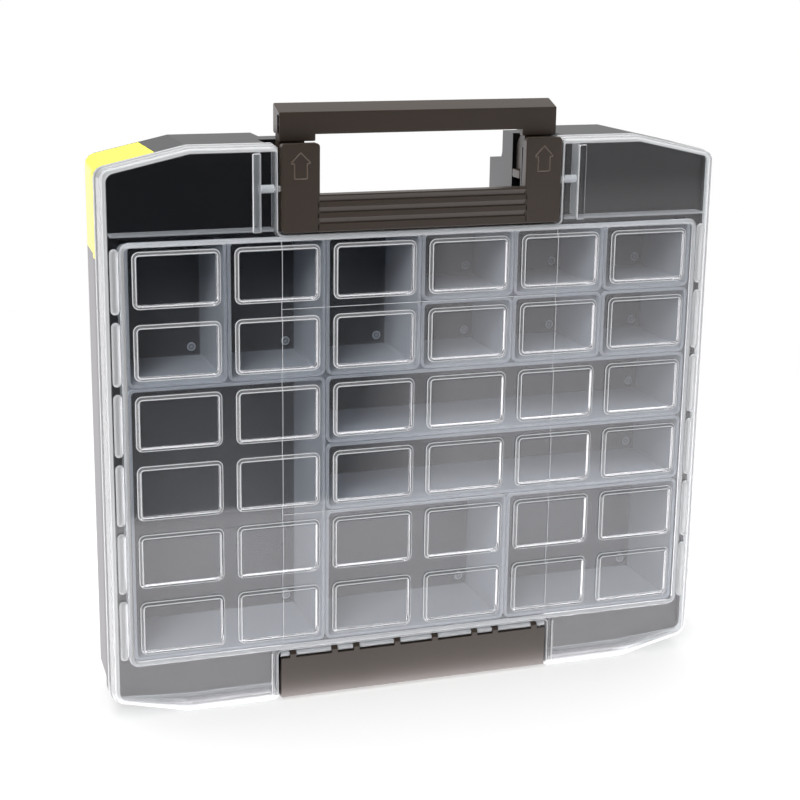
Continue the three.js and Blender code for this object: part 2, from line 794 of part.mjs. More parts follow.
// Handle: a grip bar whose top rises to the back, on two legs that slide in the tray
function makeHandle() {
  const yFront = yLidFace + handleSetBack;
  const yRear = yFront + handleDepth;
  const top = handleGripBottom + handleFaceHeight;
  const section = rounded([
    [yFront, handleGripBottom, handleEdgeRadius],
    [yRear, handleGripBottom, handleRearRadius],
    [yRear, top + handleTopRise, handleRearRadius],
    [yFront, top, handleEdgeRadius],
  ]);
  const bar = prismX(section, -handleHalfLength, handleHalfLength);
  const legs = bothSides((side) => {
    const gusset = handleGripBottom - handleGussetDrop;
    const shank = prismX([
      [yLegFront, handleLegBottom],
      [yLegRear, handleLegBottom],
      [yLegRear, handleGripBottom - handleGussetFoot],
      [yRear, gusset],
      [yRear, handleGripBottom + handleRearRadius],
      [yLegFront, handleGripBottom + handleRearRadius],
    ], Math.min(side * legNear, side * legFar), Math.max(side * legNear, side * legFar));
    const foot = sideBlock(side, legNear - handleFootStep, legFar + handleFootStep, yLegFront, yLegRear,
      handleLegBottom, handleLegBottom + handleFootHeight);
    const knuckle = sideBlock(side, handleHalfLength - handleKnuckleWidth, handleHalfLength,
      yFront, yFront + handleKnuckleDepth, handleGripBottom - handleKnuckleDrop,
      handleGripBottom + handleEdgeRadius);
    return join([shank, foot, knuckle]);
  });
  return bar.add(legs);
}

// Latch: two press arms joined by a stepped crossbar, hollow behind, rocking on the lid's stubs. The arms get
// thinner towards their tops, which leaves room behind them to be pressed in.
function makeLatch() {
  const yFront = yLidFace - latchProud;
  const yRear = yFront + latchThickness;
  const inner = latchHalfWidth - latchArmWidth;
  const outline = rounded([
    [-latchHalfWidth, latchBottom, latchCornerRadius / 2],
    [latchHalfWidth, latchBottom, latchCornerRadius / 2],
    [latchHalfWidth, latchTop, latchCornerRadius],
    [inner, latchTop, latchCornerRadius / 2],
    [inner, latchBarTop, latchCornerRadius / 2],
    [-inner, latchBarTop, latchCornerRadius / 2],
    [-inner, latchTop, latchCornerRadius / 2],
    [-latchHalfWidth, latchTop, latchCornerRadius],
  ]);
  const body = prismY(outline, yFront, yRear);
  const cuts = [];
  for (let k = 0; k < latchStepCount; k += 1) {
    const z = latchBarTop - latchFirstStep - k * latchStepPitch;
    cuts.push(prismX([
      [yFront - overrun, z + latchStepPitch / 2],
      [yFront, z + latchStepPitch / 2],
      [yFront + latchStepDepth, z],
      [yFront - overrun, z],
    ], -inner, inner));
  }
  const hollowBar = block(-inner - latchWall, inner + latchWall, yFront + latchWall + latchStepDepth,
    yRear + overrun, latchBottom + latchWall, latchBarTop - latchWall);
  cuts.push(hollowBar);
  for (const side of [-1, 1]) {
    cuts.push(sideBlock(side, inner + latchWall, latchHalfWidth - stubReach - latchWall, yFront + latchWall,
      yRear + overrun, latchPivotHeight + stubRadius + latchWall, latchTop - latchWall));
  }
  cuts.push(rod(stubRadius + pivotClearance, latchHalfWidth - stubReach - pivotClearance,
    latchHalfWidth + overrun, latchAxisY, latchPivotHeight));
  cuts.push(rod(stubRadius + pivotClearance, -latchHalfWidth - overrun,
    -latchHalfWidth + stubReach + pivotClearance, latchAxisY, latchPivotHeight));
  cuts.push(prismX([
    [yRear, latchPivotHeight + stubRadius],
    [yRear + overrun, latchPivotHeight + stubRadius],
    [yRear + overrun, latchTop + overrun],
    [yFront + latchTopDepth, latchTop + overrun],
    [yFront + latchTopDepth, latchTop],
  ], -latchHalfWidth - overrun, latchHalfWidth + overrun));
  const hooks = bothSides((side) => {
    const x = inner + latchArmWidth / 2;
    const near = x - latchHookWidth / 2;
    const far = x + latchHookWidth / 2;
    const arm = sideBlock(side, near, far, yRear - latchWall, yRear + latchHookLength,
      latchBottom + latchWall, latchBottom + latchWall + latchHookThickness);
    const nose = sideBlock(side, near, far, yRear + latchHookLength - latchHookNose, yRear + latchHookLength,
      latchBottom + latchWall, latchBottom + latchWall + latchHookThickness + latchHookNose);
    return arm.add(nose);
  });
  return body.subtract(join(cuts)).add(hooks);
}

// Hinge plate: an angle whose upper knuckles carry the lid and whose lower ones turn on the tray
function makeHingePlate() {
  const yFront = yLidFace - hingePlateProud;
  const yInner = yFront + hingePlateWall;
  const floorTop = hingePlateBottom + hingePlateWall;
  const face = block(-hingeHalfWidth, hingeHalfWidth, yFront, yInner, hingePlateBottom, hingePlateTop);
  const floorRear = yAxis;
  const floor = block(-hingeHalfWidth, hingeHalfWidth, yFront, floorRear, hingePlateBottom, floorTop);
  const ribs = [];
  for (let k = 0; k <= hingeRibs; k += 1) {
    const x = (k / hingeRibs - 0.5) * 2 * (hingeHalfWidth - hingeRibWall / 2);
    ribs.push(prismX([
      [yInner - hingePlateWall / 2, floorTop - hingePlateWall / 2],
      [yAxis - lowerKnuckleRadius * 2, floorTop - hingePlateWall / 2],
      [yInner, hingePlateTop - hingePlateWall],
      [yInner - hingePlateWall / 2, hingePlateTop - hingePlateWall],
    ], x - hingeRibWall / 2, x + hingeRibWall / 2));
  }
  const upper = [];
  for (const place of upperKnucklePlaces) {
    for (const side of [-1, 1]) {
      const x0 = side * place - upperKnuckleLength / 2;
      const x1 = side * place + upperKnuckleLength / 2;
      upper.push(rod(upperKnuckleRadius, x0, x1, upperAxisY, upperAxisHeight));
      upper.push(block(x0, x1, yFront, upperAxisY, hingePlateTop - hingePlateWall, upperAxisHeight));
    }
  }
  const upperBore = rod(upperPinRadius + pinClearance, -hingeHalfWidth - overrun,
    hingeHalfWidth + overrun, upperAxisY, upperAxisHeight);
  const relief = join(lowerKnuckleRods(true).map(([x0, x1]) => block(x0 - knuckleClearance,
    x1 + knuckleClearance, yAxis - lowerKnuckleRadius - knuckleClearance, yAxis + overrun,
    hingePlateBottom - overrun, floorTop + overrun)));
  const endRelief = bothSides((side) => sideBlock(side,
    lowerKnuckleCentre(lowerKnuckles - 1) + lowerKnuckleLength / 2, hingeHalfWidth + overrun,
    yAxis - lowerKnuckleRadius - knuckleClearance, yAxis + overrun,
    hingePlateBottom - overrun, floorTop + overrun));
  const lower = join(lowerKnuckleRods(false).map(
    ([x0, x1]) => rod(lowerKnuckleRadius, x0, x1, yAxis, hingeAxisHeight)));
  return join([face, floor, ...ribs, ...upper]).subtract(join([relief, endRelief]))
    .add(lower).subtract(upperBore).subtract(lowerBore());
}

function makePin(radius, halfLength, y, z) {
  return rod(radius, -halfLength, halfLength, y, z);
}

const caseGroup = new THREE.Group();
caseGroup.add(toMesh('tray', makeTray(), colours.tray));
caseGroup.add(toMesh('lid', makeLid(), colours.clear));
insertCellShares.forEach(([column, row, across, down], i) => {
  caseGroup.add(toMesh(`insert_${i + 1}`, makeInsert(column, row, across, down), colours.insert));
});
caseGroup.add(toMesh('handle', makeHandle(), colours.brown));
caseGroup.add(toMesh('latch', makeLatch(), colours.brown));
caseGroup.add(toMesh('hinge_plate', makeHingePlate(), colours.brown));
const lowerPinHalf = lowerKnuckleCentre(lowerKnuckles - 1) + lowerKnuckleLength / 2;
caseGroup.add(toMesh('lower_hinge_pin', makePin(lowerPinRadius, lowerPinHalf, yAxis, hingeAxisHeight),
  colours.steel));
caseGroup.add(toMesh('upper_hinge_pin', makePin(upperPinRadius, hingeHalfWidth, upperAxisY, upperAxisHeight),
  colours.steel));
caseGroup.add(toMesh('corner_clip', makeClip(), colours.yellow));

export default caseGroup;
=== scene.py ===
"""Looks of a compartment carrying case: a dark tray with loose translucent compartments, a clear lid with
raised windows, a brown latch, a draw-out handle and hinge plate, and a yellow corner clip.

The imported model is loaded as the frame. Lengths in this file are in millimetres and are turned to metres
when a mesh is made. X is right, Y is back and Z is up, and the lid faces -Y."""

import math

import bmesh
import bpy
import numpy as np
from bpy.props import FloatProperty, FloatVectorProperty, PointerProperty
from mathutils import Matrix, Vector
from mathutils.geometry import tessellate_polygon


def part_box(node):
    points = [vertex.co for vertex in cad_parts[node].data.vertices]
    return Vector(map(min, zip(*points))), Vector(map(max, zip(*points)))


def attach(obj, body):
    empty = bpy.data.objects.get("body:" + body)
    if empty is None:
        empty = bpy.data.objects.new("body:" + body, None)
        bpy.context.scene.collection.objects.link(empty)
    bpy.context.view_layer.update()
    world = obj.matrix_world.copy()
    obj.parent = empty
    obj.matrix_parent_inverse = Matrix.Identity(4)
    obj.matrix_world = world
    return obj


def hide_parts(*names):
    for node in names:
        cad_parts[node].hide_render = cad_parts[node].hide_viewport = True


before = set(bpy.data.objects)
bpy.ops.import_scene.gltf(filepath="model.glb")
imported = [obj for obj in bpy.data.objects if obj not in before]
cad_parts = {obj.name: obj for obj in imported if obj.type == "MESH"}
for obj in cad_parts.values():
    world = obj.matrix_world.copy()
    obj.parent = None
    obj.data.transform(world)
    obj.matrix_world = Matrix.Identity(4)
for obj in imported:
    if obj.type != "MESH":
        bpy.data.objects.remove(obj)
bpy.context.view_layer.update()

bl_info = {
    "name": "Compartment Case",
    "version": (1, 0, 0),
    "blender": (4, 5, 0),
    "location": "View3D > Sidebar > Case",
    "description": "Builds the looks of a compartment carrying case round its packed model",
    "category": "Add Mesh",
}

MM = 0.001
SEAM_GAP = 0.3


def node_box(node):
    """Lowest and highest corner of a node at rest, in millimetres."""
    low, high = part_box(node)
    return np.array(low) / MM, np.array(high) / MM


def linear(hex_colour):
    """An sRGB hex colour as linear red, green, blue and an alpha of 1."""
    parts = [int(hex_colour[i:i + 2], 16) / 255 for i in (1, 3, 5)]
    curve = [c / 12.92 if c <= 0.04045 else ((c + 0.055) / 1.055) ** 2.4 for c in parts]
    return tuple(curve) + (1.0,)


LID_LOW, LID_HIGH = node_box("lid")
TRAY_HIGH = node_box("tray")[1]
LATCH_LOW, LATCH_HIGH = node_box("latch")
HINGE_LOW, HINGE_HIGH = node_box("hinge_plate")
HANDLE_LOW, HANDLE_HIGH = node_box("handle")
TRAY_FRONT = LID_HIGH[1] + SEAM_GAP


def length(name, description, default):
    """A length property in millimetres."""
    return FloatProperty(name=name, description=description, default=default, min=0.0)


def colour(name, description, hex_colour):
    """A colour property whose default is an sRGB hex colour."""
    return FloatVectorProperty(name=name, description=description, default=linear(hex_colour), size=4,
                               subtype="COLOR", min=0.0, max=1.0)


class CaseSizes(bpy.types.PropertyGroup):
    """Sizes of the case's dressed pieces, in millimetres."""

    column_pitch: length("Column pitch", "Width of one grid cell", 71.0)
    row_pitch: length("Row pitch", "Height of one grid cell", 50.3)
    grid_centre: length("Grid centre", "Height of the grid's middle above the floor", 194.5)
    lid_wall: length("Lid wall", "Thickness of the clear lid", 2.0)
    window_rise: length("Window rise", "How far a window stands out of the lid's face", 1.85)
    window_width: length("Window width", "Width of a window at its root", 61.6)
    window_height: length("Window height", "Height of a window at its root", 40.2)
    window_radius: length("Window radius", "Corner radius of a window at its root", 5.0)
    insert_wall: length("Compartment wall", "Thickness of a loose compartment's wall", 1.2)
    insert_lip: length("Compartment lip", "How far a compartment's lip stands out", 1.2)
    edge_bevel: length("Edge bevel", "Width of the softened edges of moulded pieces", 0.7)


class CaseColours(bpy.types.PropertyGroup):
    """Colours of the case's materials."""

    tray: colour("Tray", "Dark blue-grey polypropylene", "#101115")
    insert: colour("Compartments", "Natural light grey polypropylene", "#d3d7df")
    lid: colour("Lid", "Clear polycarbonate", "#f7f9fa")
    brown: colour("Brown parts", "Dark brown ABS", "#362d26")
    # Painted highlight: the raised arrows are coloured lighter than the arms, for the light that catches
    # their ridges
    rubbed: colour("Raised marks", "Brown ABS rubbed shiny by thumbs", "#5c5046")
    yellow: colour("Corner clip", "Yellow ABS", "#e9e52e")
    steel: colour("Pins", "Drawn steel wire", "#b4b6b8")
    floor: colour("Floor", "White studio paper", "#f2f2f2")


# Materials

def add_node(material, kind, settings=None, links=None):
    """Adds a node, sets its properties and sockets, and links sockets to it: {input: output socket}."""
    node = material.node_tree.nodes.new(kind)
    for key, value in (settings or {}).items():
        if isinstance(key, int) or key in node.inputs:
            node.inputs[key].default_value = value
        else:
            setattr(node, key, value)
    for key, output in (links or {}).items():
        material.node_tree.links.new(output, node.inputs[key])
    return node


def new_material(name):
    """An empty material with an output node."""
    material = bpy.data.materials.new(name)
    material.use_nodes = True
    material.node_tree.nodes.clear()
    output = material.node_tree.nodes.new("ShaderNodeOutputMaterial")
    return material, output


def finish_material(material, output, shader):
    """Joins a shader's output to the material's surface."""
    material.node_tree.links.new(shader, output.inputs["Surface"])
    return material


FLOW_SIZE = 60.0
GRAIN_SIZE = 0.6
GLOSS_SWING = 0.03
GRAIN_BUMP = 0.35


def moulded_plastic(name, base, roughness, grain_depth, lighter=0.12):
    """An opaque injection moulding: an even colour that flows a little, and a fine spark-eroded grain,
    drawn as coarse as it needs to show, that breaks up the gloss."""
    material, output = new_material(name)
    place = add_node(material, "ShaderNodeTexCoord")
    flow = add_node(material, "ShaderNodeTexNoise", {"Scale": 1 / (FLOW_SIZE * MM), "Detail": 3.0},
                    {"Vector": place.outputs["Object"]})
    grain = add_node(material, "ShaderNodeTexNoise", {"Scale": 1 / (GRAIN_SIZE * MM), "Detail": 2.0},
                     {"Vector": place.outputs["Object"]})
    light = tuple(min(1.0, c * (1 + lighter)) for c in base[:3]) + (1.0,)
    dark = tuple(c * (1 - lighter) for c in base[:3]) + (1.0,)
    mix = add_node(material, "ShaderNodeMix", {"data_type": "RGBA"}, {"Factor": flow.outputs["Fac"]})
    mix.inputs[6].default_value = dark
    mix.inputs[7].default_value = light
    gloss = add_node(material, "ShaderNodeMapRange",
                     {"To Min": roughness - GLOSS_SWING, "To Max": roughness + GLOSS_SWING},
                     {"Value": grain.outputs["Fac"]})
    bump = add_node(material, "ShaderNodeBump", {"Strength": GRAIN_BUMP, "Distance": grain_depth * MM},
                    {"Height": grain.outputs["Fac"]})
    shader = add_node(material, "ShaderNodeBsdfPrincipled", {"IOR": 1.5, "Specular IOR Level": 0.5}, {
        "Base Color": mix.outputs[2], "Roughness": gloss.outputs["Result"], "Normal": bump.outputs["Normal"]})
    return finish_material(material, output, shader.outputs["BSDF"])


FROST_AND_HIGHLIGHT_SHARE = 0.8
HAZE_SIZE = 25.0


def clear_polycarbonate(base):
    """Clear polycarbonate out of a polished mould: IOR 1.585, so its edges and ribs flash white, with the
    faint haze of handling. Where the frost attribute is set, at bends, beads and ribs, it is mixed with a
    dull white shader: partly a less polished mould there, partly a painted highlight that stands in for the
    bright surroundings mirrored along those edges. Lamps shine through it."""
    material, output = new_material("clear_polycarbonate")
    place = add_node(material, "ShaderNodeTexCoord")
    frost = add_node(material, "ShaderNodeAttribute", {"attribute_name": "frost"})
    haze = add_node(material, "ShaderNodeTexNoise", {"Scale": 1 / (HAZE_SIZE * MM), "Detail": 4.0},
                    {"Vector": place.outputs["Object"]})
    gloss = add_node(material, "ShaderNodeMapRange", {"To Min": 0.0, "To Max": 0.03},
                     {"Value": haze.outputs["Fac"]})
    glass = add_node(material, "ShaderNodeBsdfPrincipled",
                     {"Base Color": base, "Transmission Weight": 1.0, "IOR": 1.585},
                     {"Roughness": gloss.outputs["Result"]})
    through = add_node(material, "ShaderNodeBsdfTransparent", {"Color": (0.93, 0.94, 0.95, 1.0)})
    # The white that frost mixes in: partly a duller surface, partly painted highlight
    dull = add_node(material, "ShaderNodeBsdfPrincipled",
                    {"Base Color": (0.9, 0.91, 0.93, 1.0), "Roughness": 0.3})
    share = add_node(material, "ShaderNodeMath", {"operation": "MULTIPLY", 1: FROST_AND_HIGHLIGHT_SHARE},
                     {0: frost.outputs["Fac"]})
    body = add_node(material, "ShaderNodeMixShader", links={0: share.outputs["Value"]})
    material.node_tree.links.new(glass.outputs["BSDF"], body.inputs[1])
    material.node_tree.links.new(dull.outputs["BSDF"], body.inputs[2])
    path = add_node(material, "ShaderNodeLightPath")
    mix = add_node(material, "ShaderNodeMixShader", links={0: path.outputs["Is Shadow Ray"]})
    material.node_tree.links.new(body.outputs["Shader"], mix.inputs[1])
    material.node_tree.links.new(through.outputs["BSDF"], mix.inputs[2])
    return finish_material(material, output, mix.outputs["Shader"])


SATIN_PATCH = 14.0


def natural_polypropylene(base):
    """Thin natural polypropylene: milky and see-through face on, and light grey where a wall is seen along
    its length, and where the frost attribute marks it as seen end on, as at its lip. Its moulded surface is
    satin."""
    material, output = new_material("natural_polypropylene")
    place = add_node(material, "ShaderNodeTexCoord")
    grain = add_node(material, "ShaderNodeTexNoise", {"Scale": 1 / (SATIN_PATCH * MM), "Detail": 3.0},
                     {"Vector": place.outputs["Object"]})
    gloss = add_node(material, "ShaderNodeMapRange", {"To Min": 0.27, "To Max": 0.29},
                     {"Value": grain.outputs["Fac"]})
    milk = add_node(material, "ShaderNodeBsdfPrincipled", {"Base Color": base, "IOR": 1.49},
                    {"Roughness": gloss.outputs["Result"]})
    film = add_node(material, "ShaderNodeBsdfTransparent", {"Color": (0.95, 0.96, 0.97, 1.0)})
    edge = add_node(material, "ShaderNodeLayerWeight", {"Blend": 0.35})
    share = add_node(material, "ShaderNodeMapRange", {"From Min": 0.05, "To Min": 0.01, "To Max": 0.95},
                     {"Value": edge.outputs["Facing"]})
    frost = add_node(material, "ShaderNodeAttribute", {"attribute_name": "frost"})
    whole = add_node(material, "ShaderNodeMath", {"operation": "ADD", "use_clamp": True},
                     {0: share.outputs["Result"], 1: frost.outputs["Fac"]})
    mix = add_node(material, "ShaderNodeMixShader", links={0: whole.outputs["Value"]})
    material.node_tree.links.new(film.outputs["BSDF"], mix.inputs[1])
    material.node_tree.links.new(milk.outputs["BSDF"], mix.inputs[2])
    return finish_material(material, output, mix.outputs["Shader"])


DRAWN_LINES = 2.0


def steel_wire(base):
    """Drawn steel wire, for the hinge pins: its gloss varies in short streaks that the die leaves."""
    material, output = new_material("drawn_steel_wire")
    place = add_node(material, "ShaderNodeTexCoord")
    lines = add_node(material, "ShaderNodeTexNoise", {"Scale": 1 / (DRAWN_LINES * MM), "Detail": 2.0},
                     {"Vector": place.outputs["Object"]})
    gloss = add_node(material, "ShaderNodeMapRange", {"To Min": 0.25, "To Max": 0.4},
                     {"Value": lines.outputs["Fac"]})
    shader = add_node(material, "ShaderNodeBsdfPrincipled", {"Base Color": base, "Metallic": 1.0},
                      {"Roughness": gloss.outputs["Result"]})
    return finish_material(material, output, shader.outputs["BSDF"])


def material_for(kind):
    """The case's material of that kind, made once."""
    colours = bpy.context.scene.case_colours
    makers = {
        "clear_polycarbonate": lambda name: clear_polycarbonate(tuple(colours.lid)),
        "natural_polypropylene": lambda name: natural_polypropylene(tuple(colours.insert)),
        # Near black and satin, so that the decks show as soft blue-grey gleams
        "moulded_polypropylene": lambda name: moulded_plastic(name, tuple(colours.tray), 0.4, 0.004),
        # Warm and duller than the tray, with a grain deep enough to break up the highlights
        "brown_abs": lambda name: moulded_plastic(name, tuple(colours.brown), 0.42, 0.015),
        # The same brown painted lighter, a painted highlight on the raised arrows, and glossier, so that the
        # arrows stand out from the arms
        "rubbed_brown_abs": lambda name: moulded_plastic(name, tuple(colours.rubbed), 0.25, 0.004),
        # An even, saturated yellow, the one bright colour of the case
        "yellow_abs": lambda name: moulded_plastic(name, tuple(colours.yellow), 0.4, 0.015, 0.04),
        "drawn_steel_wire": lambda name: steel_wire(tuple(colours.steel)),
    }
    return bpy.data.materials.get(kind) or makers[kind](kind)


# Outlines: lists of corners (x, z, radius), and arrays of points (x, z)

ARC_STEPS = 6


def corner_frames(corners):
    """For each corner of a polygon: its point, the directions to its neighbours, half its angle, and 1 for
    a corner that turns left and -1 for one that turns right."""
    points = np.array([c[:2] for c in corners], float)
    before = np.roll(points, 1, axis=0) - points
    after = np.roll(points, -1, axis=0) - points
    before /= np.linalg.norm(before, axis=1)[:, None]
    after /= np.linalg.norm(after, axis=1)[:, None]
    half = np.arccos(np.clip((before * after).sum(axis=1), -1, 1)) / 2
    turn = np.sign(after[:, 0] * before[:, 1] - after[:, 1] * before[:, 0])
    return points, before, after, half, turn


def drawn_in(corners, inset):
    """A polygon whose sides are each moved inwards by inset: a corner moves along its bisector by inset /
    sin(half its angle), outwards where the outline turns right."""
    points, before, after, half, turn = corner_frames(corners)
    bisector = before + after
    bisector /= np.linalg.norm(bisector, axis=1)[:, None]
    moved = points + bisector * (turn * inset / np.sin(half))[:, None]
    radii = np.maximum(np.array([c[2] for c in corners]) - turn * inset, 0.3)
    return [(x, z, r) for (x, z), r in zip(moved, radii)]


def rounded(corners, steps=ARC_STEPS):
    """Points of a polygon with round corners. Each arc turns about the point at radius / sin(half the
    angle) along the bisector, from one side's tangent point to the other's."""
    points, before, after, half, turn = corner_frames(corners)
    radii = np.array([c[2] for c in corners], float)
    bisector = before + after
    bisector /= np.linalg.norm(bisector, axis=1)[:, None]
    centres = points + bisector * (radii / np.sin(half))[:, None]
    start = points + before * (radii / np.tan(half))[:, None] - centres
    angles = (turn * (math.pi - 2 * half))[:, None] * np.linspace(0, 1, steps + 1)[None, :]
    cos, sin = np.cos(angles), np.sin(angles)
    x = centres[:, :1] + start[:, :1] * cos - start[:, 1:] * sin
    z = centres[:, 1:] + start[:, :1] * sin + start[:, 1:] * cos
    return np.stack([x.ravel(), z.ravel()], axis=1)


def rectangle(cx, cz, width, height, radius):
    """Corners of a rectangle with one radius."""
    x, z = width / 2, height / 2
    return [(cx - x, cz - z, radius), (cx + x, cz - z, radius),
            (cx + x, cz + z, radius), (cx - x, cz + z, radius)]


# Meshes

class Surface:
    """Vertices in millimetres and faces, gathered from several parts."""

    def __init__(self):
        self.vertices = []
        self.frost = []
        self.faces = []
        self.count = 0

    def add(self, vertices, faces, frost=0.0):
        """Adds vertices and faces that count from 0. frost is how dull the surface is there, and on the clear
        lid its white is partly a painted highlight: one share, or one for each vertex."""
        vertices = np.asarray(vertices, float).reshape(-1, 3)
        self.vertices.append(vertices)
        self.frost.append(np.broadcast_to(np.asarray(frost, float), (len(vertices),)))
        self.faces.extend([tuple(int(i) + self.count for i in face) for face in faces])
        self.count += len(vertices)

    def piece(self, name, material, body, replaces=(), smooth_degrees=40.0):
        """Makes the object: faces turned outwards, smooth but for edges sharper than an angle."""
        mesh = bpy.data.meshes.new(name)
        mesh.from_pydata((np.concatenate(self.vertices) * MM).tolist(), [], self.faces)
        mesh.attributes.new("frost", "FLOAT", "POINT").data.foreach_set("value", np.concatenate(self.frost))
        thing = dressed(name, mesh, material, body, replaces, smooth_degrees)
        flatten(thing)
        return thing


def flatten(thing):
    """Lets the larger faces set the shading at their corners, so that flat faces look flat."""
    flat = thing.modifiers.new("flat faces", "WEIGHTED_NORMAL")
    flat.mode = "FACE_AREA"
    flat.weight = 100
    flat.keep_sharp = True


def dressed(name, mesh, material, body, replaces, smooth_degrees):
    """Links a mesh as a piece that rides on a body and stands for nodes."""
    work = bmesh.new()
    work.from_mesh(mesh)
    bmesh.ops.remove_doubles(work, verts=work.verts, dist=0.001 * MM)
    bmesh.ops.recalc_face_normals(work, faces=work.faces)
    work.to_mesh(mesh)
    work.free()
    mesh.polygons.foreach_set("use_smooth", np.ones(len(mesh.polygons), bool))
    mesh.set_sharp_from_angle(angle=math.radians(smooth_degrees))
    mesh.materials.append(material_for(material))
    thing = bpy.data.objects.new(name, mesh)
    bpy.context.scene.collection.objects.link(thing)
    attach(thing, body)
    if replaces:
        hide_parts(*replaces)
    return thing


def grid_faces(rings, count):
    """Quads between closed rings of equal counts, numbered ring after ring."""
    i = np.arange(count)
    j = (i + 1) % count
    rows = np.arange(rings - 1)[:, None] * count
    quads = np.stack([rows + i, rows + j, rows + count + j, rows + count + i], axis=-1)
    return quads.reshape(-1, 4).tolist()


def ring_frost(shares, count):
    """One share of frost for each ring, given to all of its points."""
    return np.repeat(np.asarray(shares, float), count)


def ring_points(outline, y):
    """An outline of (x, z) points as 3-D points at a depth."""
    return np.column_stack([outline[:, 0], np.full(len(outline), y), outline[:, 1]])


def loft(rings, cap_first=True):
    """A skin through rings of equal counts of 3-D points, with a flat cap on the last, and on the first
    unless it is left open."""
    count = len(rings[0])
    faces = grid_faces(len(rings), count)
    if cap_first:
        faces.append(list(range(count))[::-1])
    faces.append(list(range((len(rings) - 1) * count, len(rings) * count)))
    return np.concatenate(rings), faces


def closed_sweep(rings):
    """A skin through rings of equal counts of 3-D points that ends where it began."""
    count = len(rings[0])
    faces = grid_faces(len(rings), count)
    i = np.arange(count)
    j = (i + 1) % count
    last = (len(rings) - 1) * count
    faces += np.stack([last + i, last + j, j, i], axis=-1).tolist()
    return np.concatenate(rings), faces


def block_rings(x0, x1, y0, y1, z0, z1, radius, edge):
    """An upright block: a rounded rectangle of (x, y) carried up Z, drawn in at both ends by its edge."""
    corners = rectangle((x0 + x1) / 2, (y0 + y1) / 2, x1 - x0, y1 - y0, radius)
    levels = [(edge, z0), (edge * 0.3, z0 + edge * 0.3), (0, z0 + edge),
              (0, z1 - edge), (edge * 0.3, z1 - edge * 0.3), (edge, z1)]
    rings = []
    for inset, z in levels:
        outline = rounded(drawn_in(corners, inset), 4)
        rings.append(np.column_stack([outline, np.full(len(outline), z)]))
    return rings


# Lid

LID_FACE_SET_BACK = 2.0
NOTCH_GAP = 1.5
LATCH_FLOOR_GAP = 1.0
HINGE_NOTCH_TOP = 38.5


def lid_values(sizes):
    """Places on the lid that its parts share."""
    face = LID_LOW[1] + LID_FACE_SET_BACK
    half_grid = (3 * sizes.column_pitch, 3 * sizes.row_pitch)
    return {
        "face": face,
        "seam": LID_HIGH[1],
        "half_width": LID_HIGH[0],
        "top": LID_HIGH[2],
        "grid_half_width": half_grid[0],
        "grid_low": sizes.grid_centre - half_grid[1],
        "grid_high": sizes.grid_centre + half_grid[1],
        "latch_half": LATCH_HIGH[0] + NOTCH_GAP,
        "latch_floor": LATCH_LOW[2] - LATCH_FLOOR_GAP,
        "hinge_half": HINGE_HIGH[0] + NOTCH_GAP,
        "hinge_top": HINGE_NOTCH_TOP,
    }


TOP_FLAT_HALF = 167.0
TOP_SLOPE_DROP = 14.0
BOTTOM_FLAT_HALF = 174.0
BOTTOM_SLOPE_RISE = 13.0
SIDE_CORNER_RADIUS = 8.0
SLOPE_CORNER_RADIUS = 5.0
NOTCH_RADIUS = 2.8


def lid_corners(v, side, end):
    """Corners of the lid's outline with its latch and hinge notches. side draws in the left and right
    edges, and end the top and bottom ones."""
    half = v["half_width"] - side
    top = v["top"] - end
    steep_top = TOP_SLOPE_DROP / (v["half_width"] - TOP_FLAT_HALF)
    steep_low = BOTTOM_SLOPE_RISE / (v["half_width"] - BOTTOM_FLAT_HALF)
    side_top = top - (half - TOP_FLAT_HALF) * steep_top
    side_low = end + (half - BOTTOM_FLAT_HALF) * steep_low
    right = [
        (v["hinge_half"], v["hinge_top"], NOTCH_RADIUS), (v["hinge_half"], end, NOTCH_RADIUS),
        (BOTTOM_FLAT_HALF, end, SLOPE_CORNER_RADIUS), (half, side_low, SIDE_CORNER_RADIUS),
        (half, side_top, SIDE_CORNER_RADIUS), (TOP_FLAT_HALF, top, SLOPE_CORNER_RADIUS),
        (v["latch_half"], top, NOTCH_RADIUS), (v["latch_half"], v["latch_floor"], NOTCH_RADIUS),
    ]
    left = [(-x, z, r) for x, z, r in reversed(right)]
    return right + left


def lid_ring(v, inset, side, end, y):
    """One ring of the lid's skirt at a depth."""
    return ring_points(rounded(drawn_in(lid_corners(v, side, end), inset)), y)


LID_EDGE = 3.5
NOTCH_EDGE = 1.0
LID_DRAFT = 2.0
END_DRAFT = 0.6
SEAM_BAND = 2.0
SEAM_STEP = 0.6
SEAM_DRAFTS = (0.9, 0.5)
EDGE_FRINGE = 0.9
RELIEF_DEPTHS = [-28.3, -27.9, -25.8, -23.0]
RELIEF_HEIGHTS = [0.0, 5.0, 7.0, 8.0]
RELIEF_TOP = 12.0
RELIEF_REACH = 10.0


def raise_lower_edge(surface):
    """Lifts the lid's lower edge towards the seam, so that it clears the tray as the lid swings open: each
    point rises by the relief's height at its depth, and less the higher it lies."""
    for points in surface.vertices:
        share = np.clip((RELIEF_TOP - points[:, 2]) / RELIEF_REACH, 0.0, 1.0)
        points[:, 2] += np.interp(points[:, 1], RELIEF_DEPTHS, RELIEF_HEIGHTS) * share


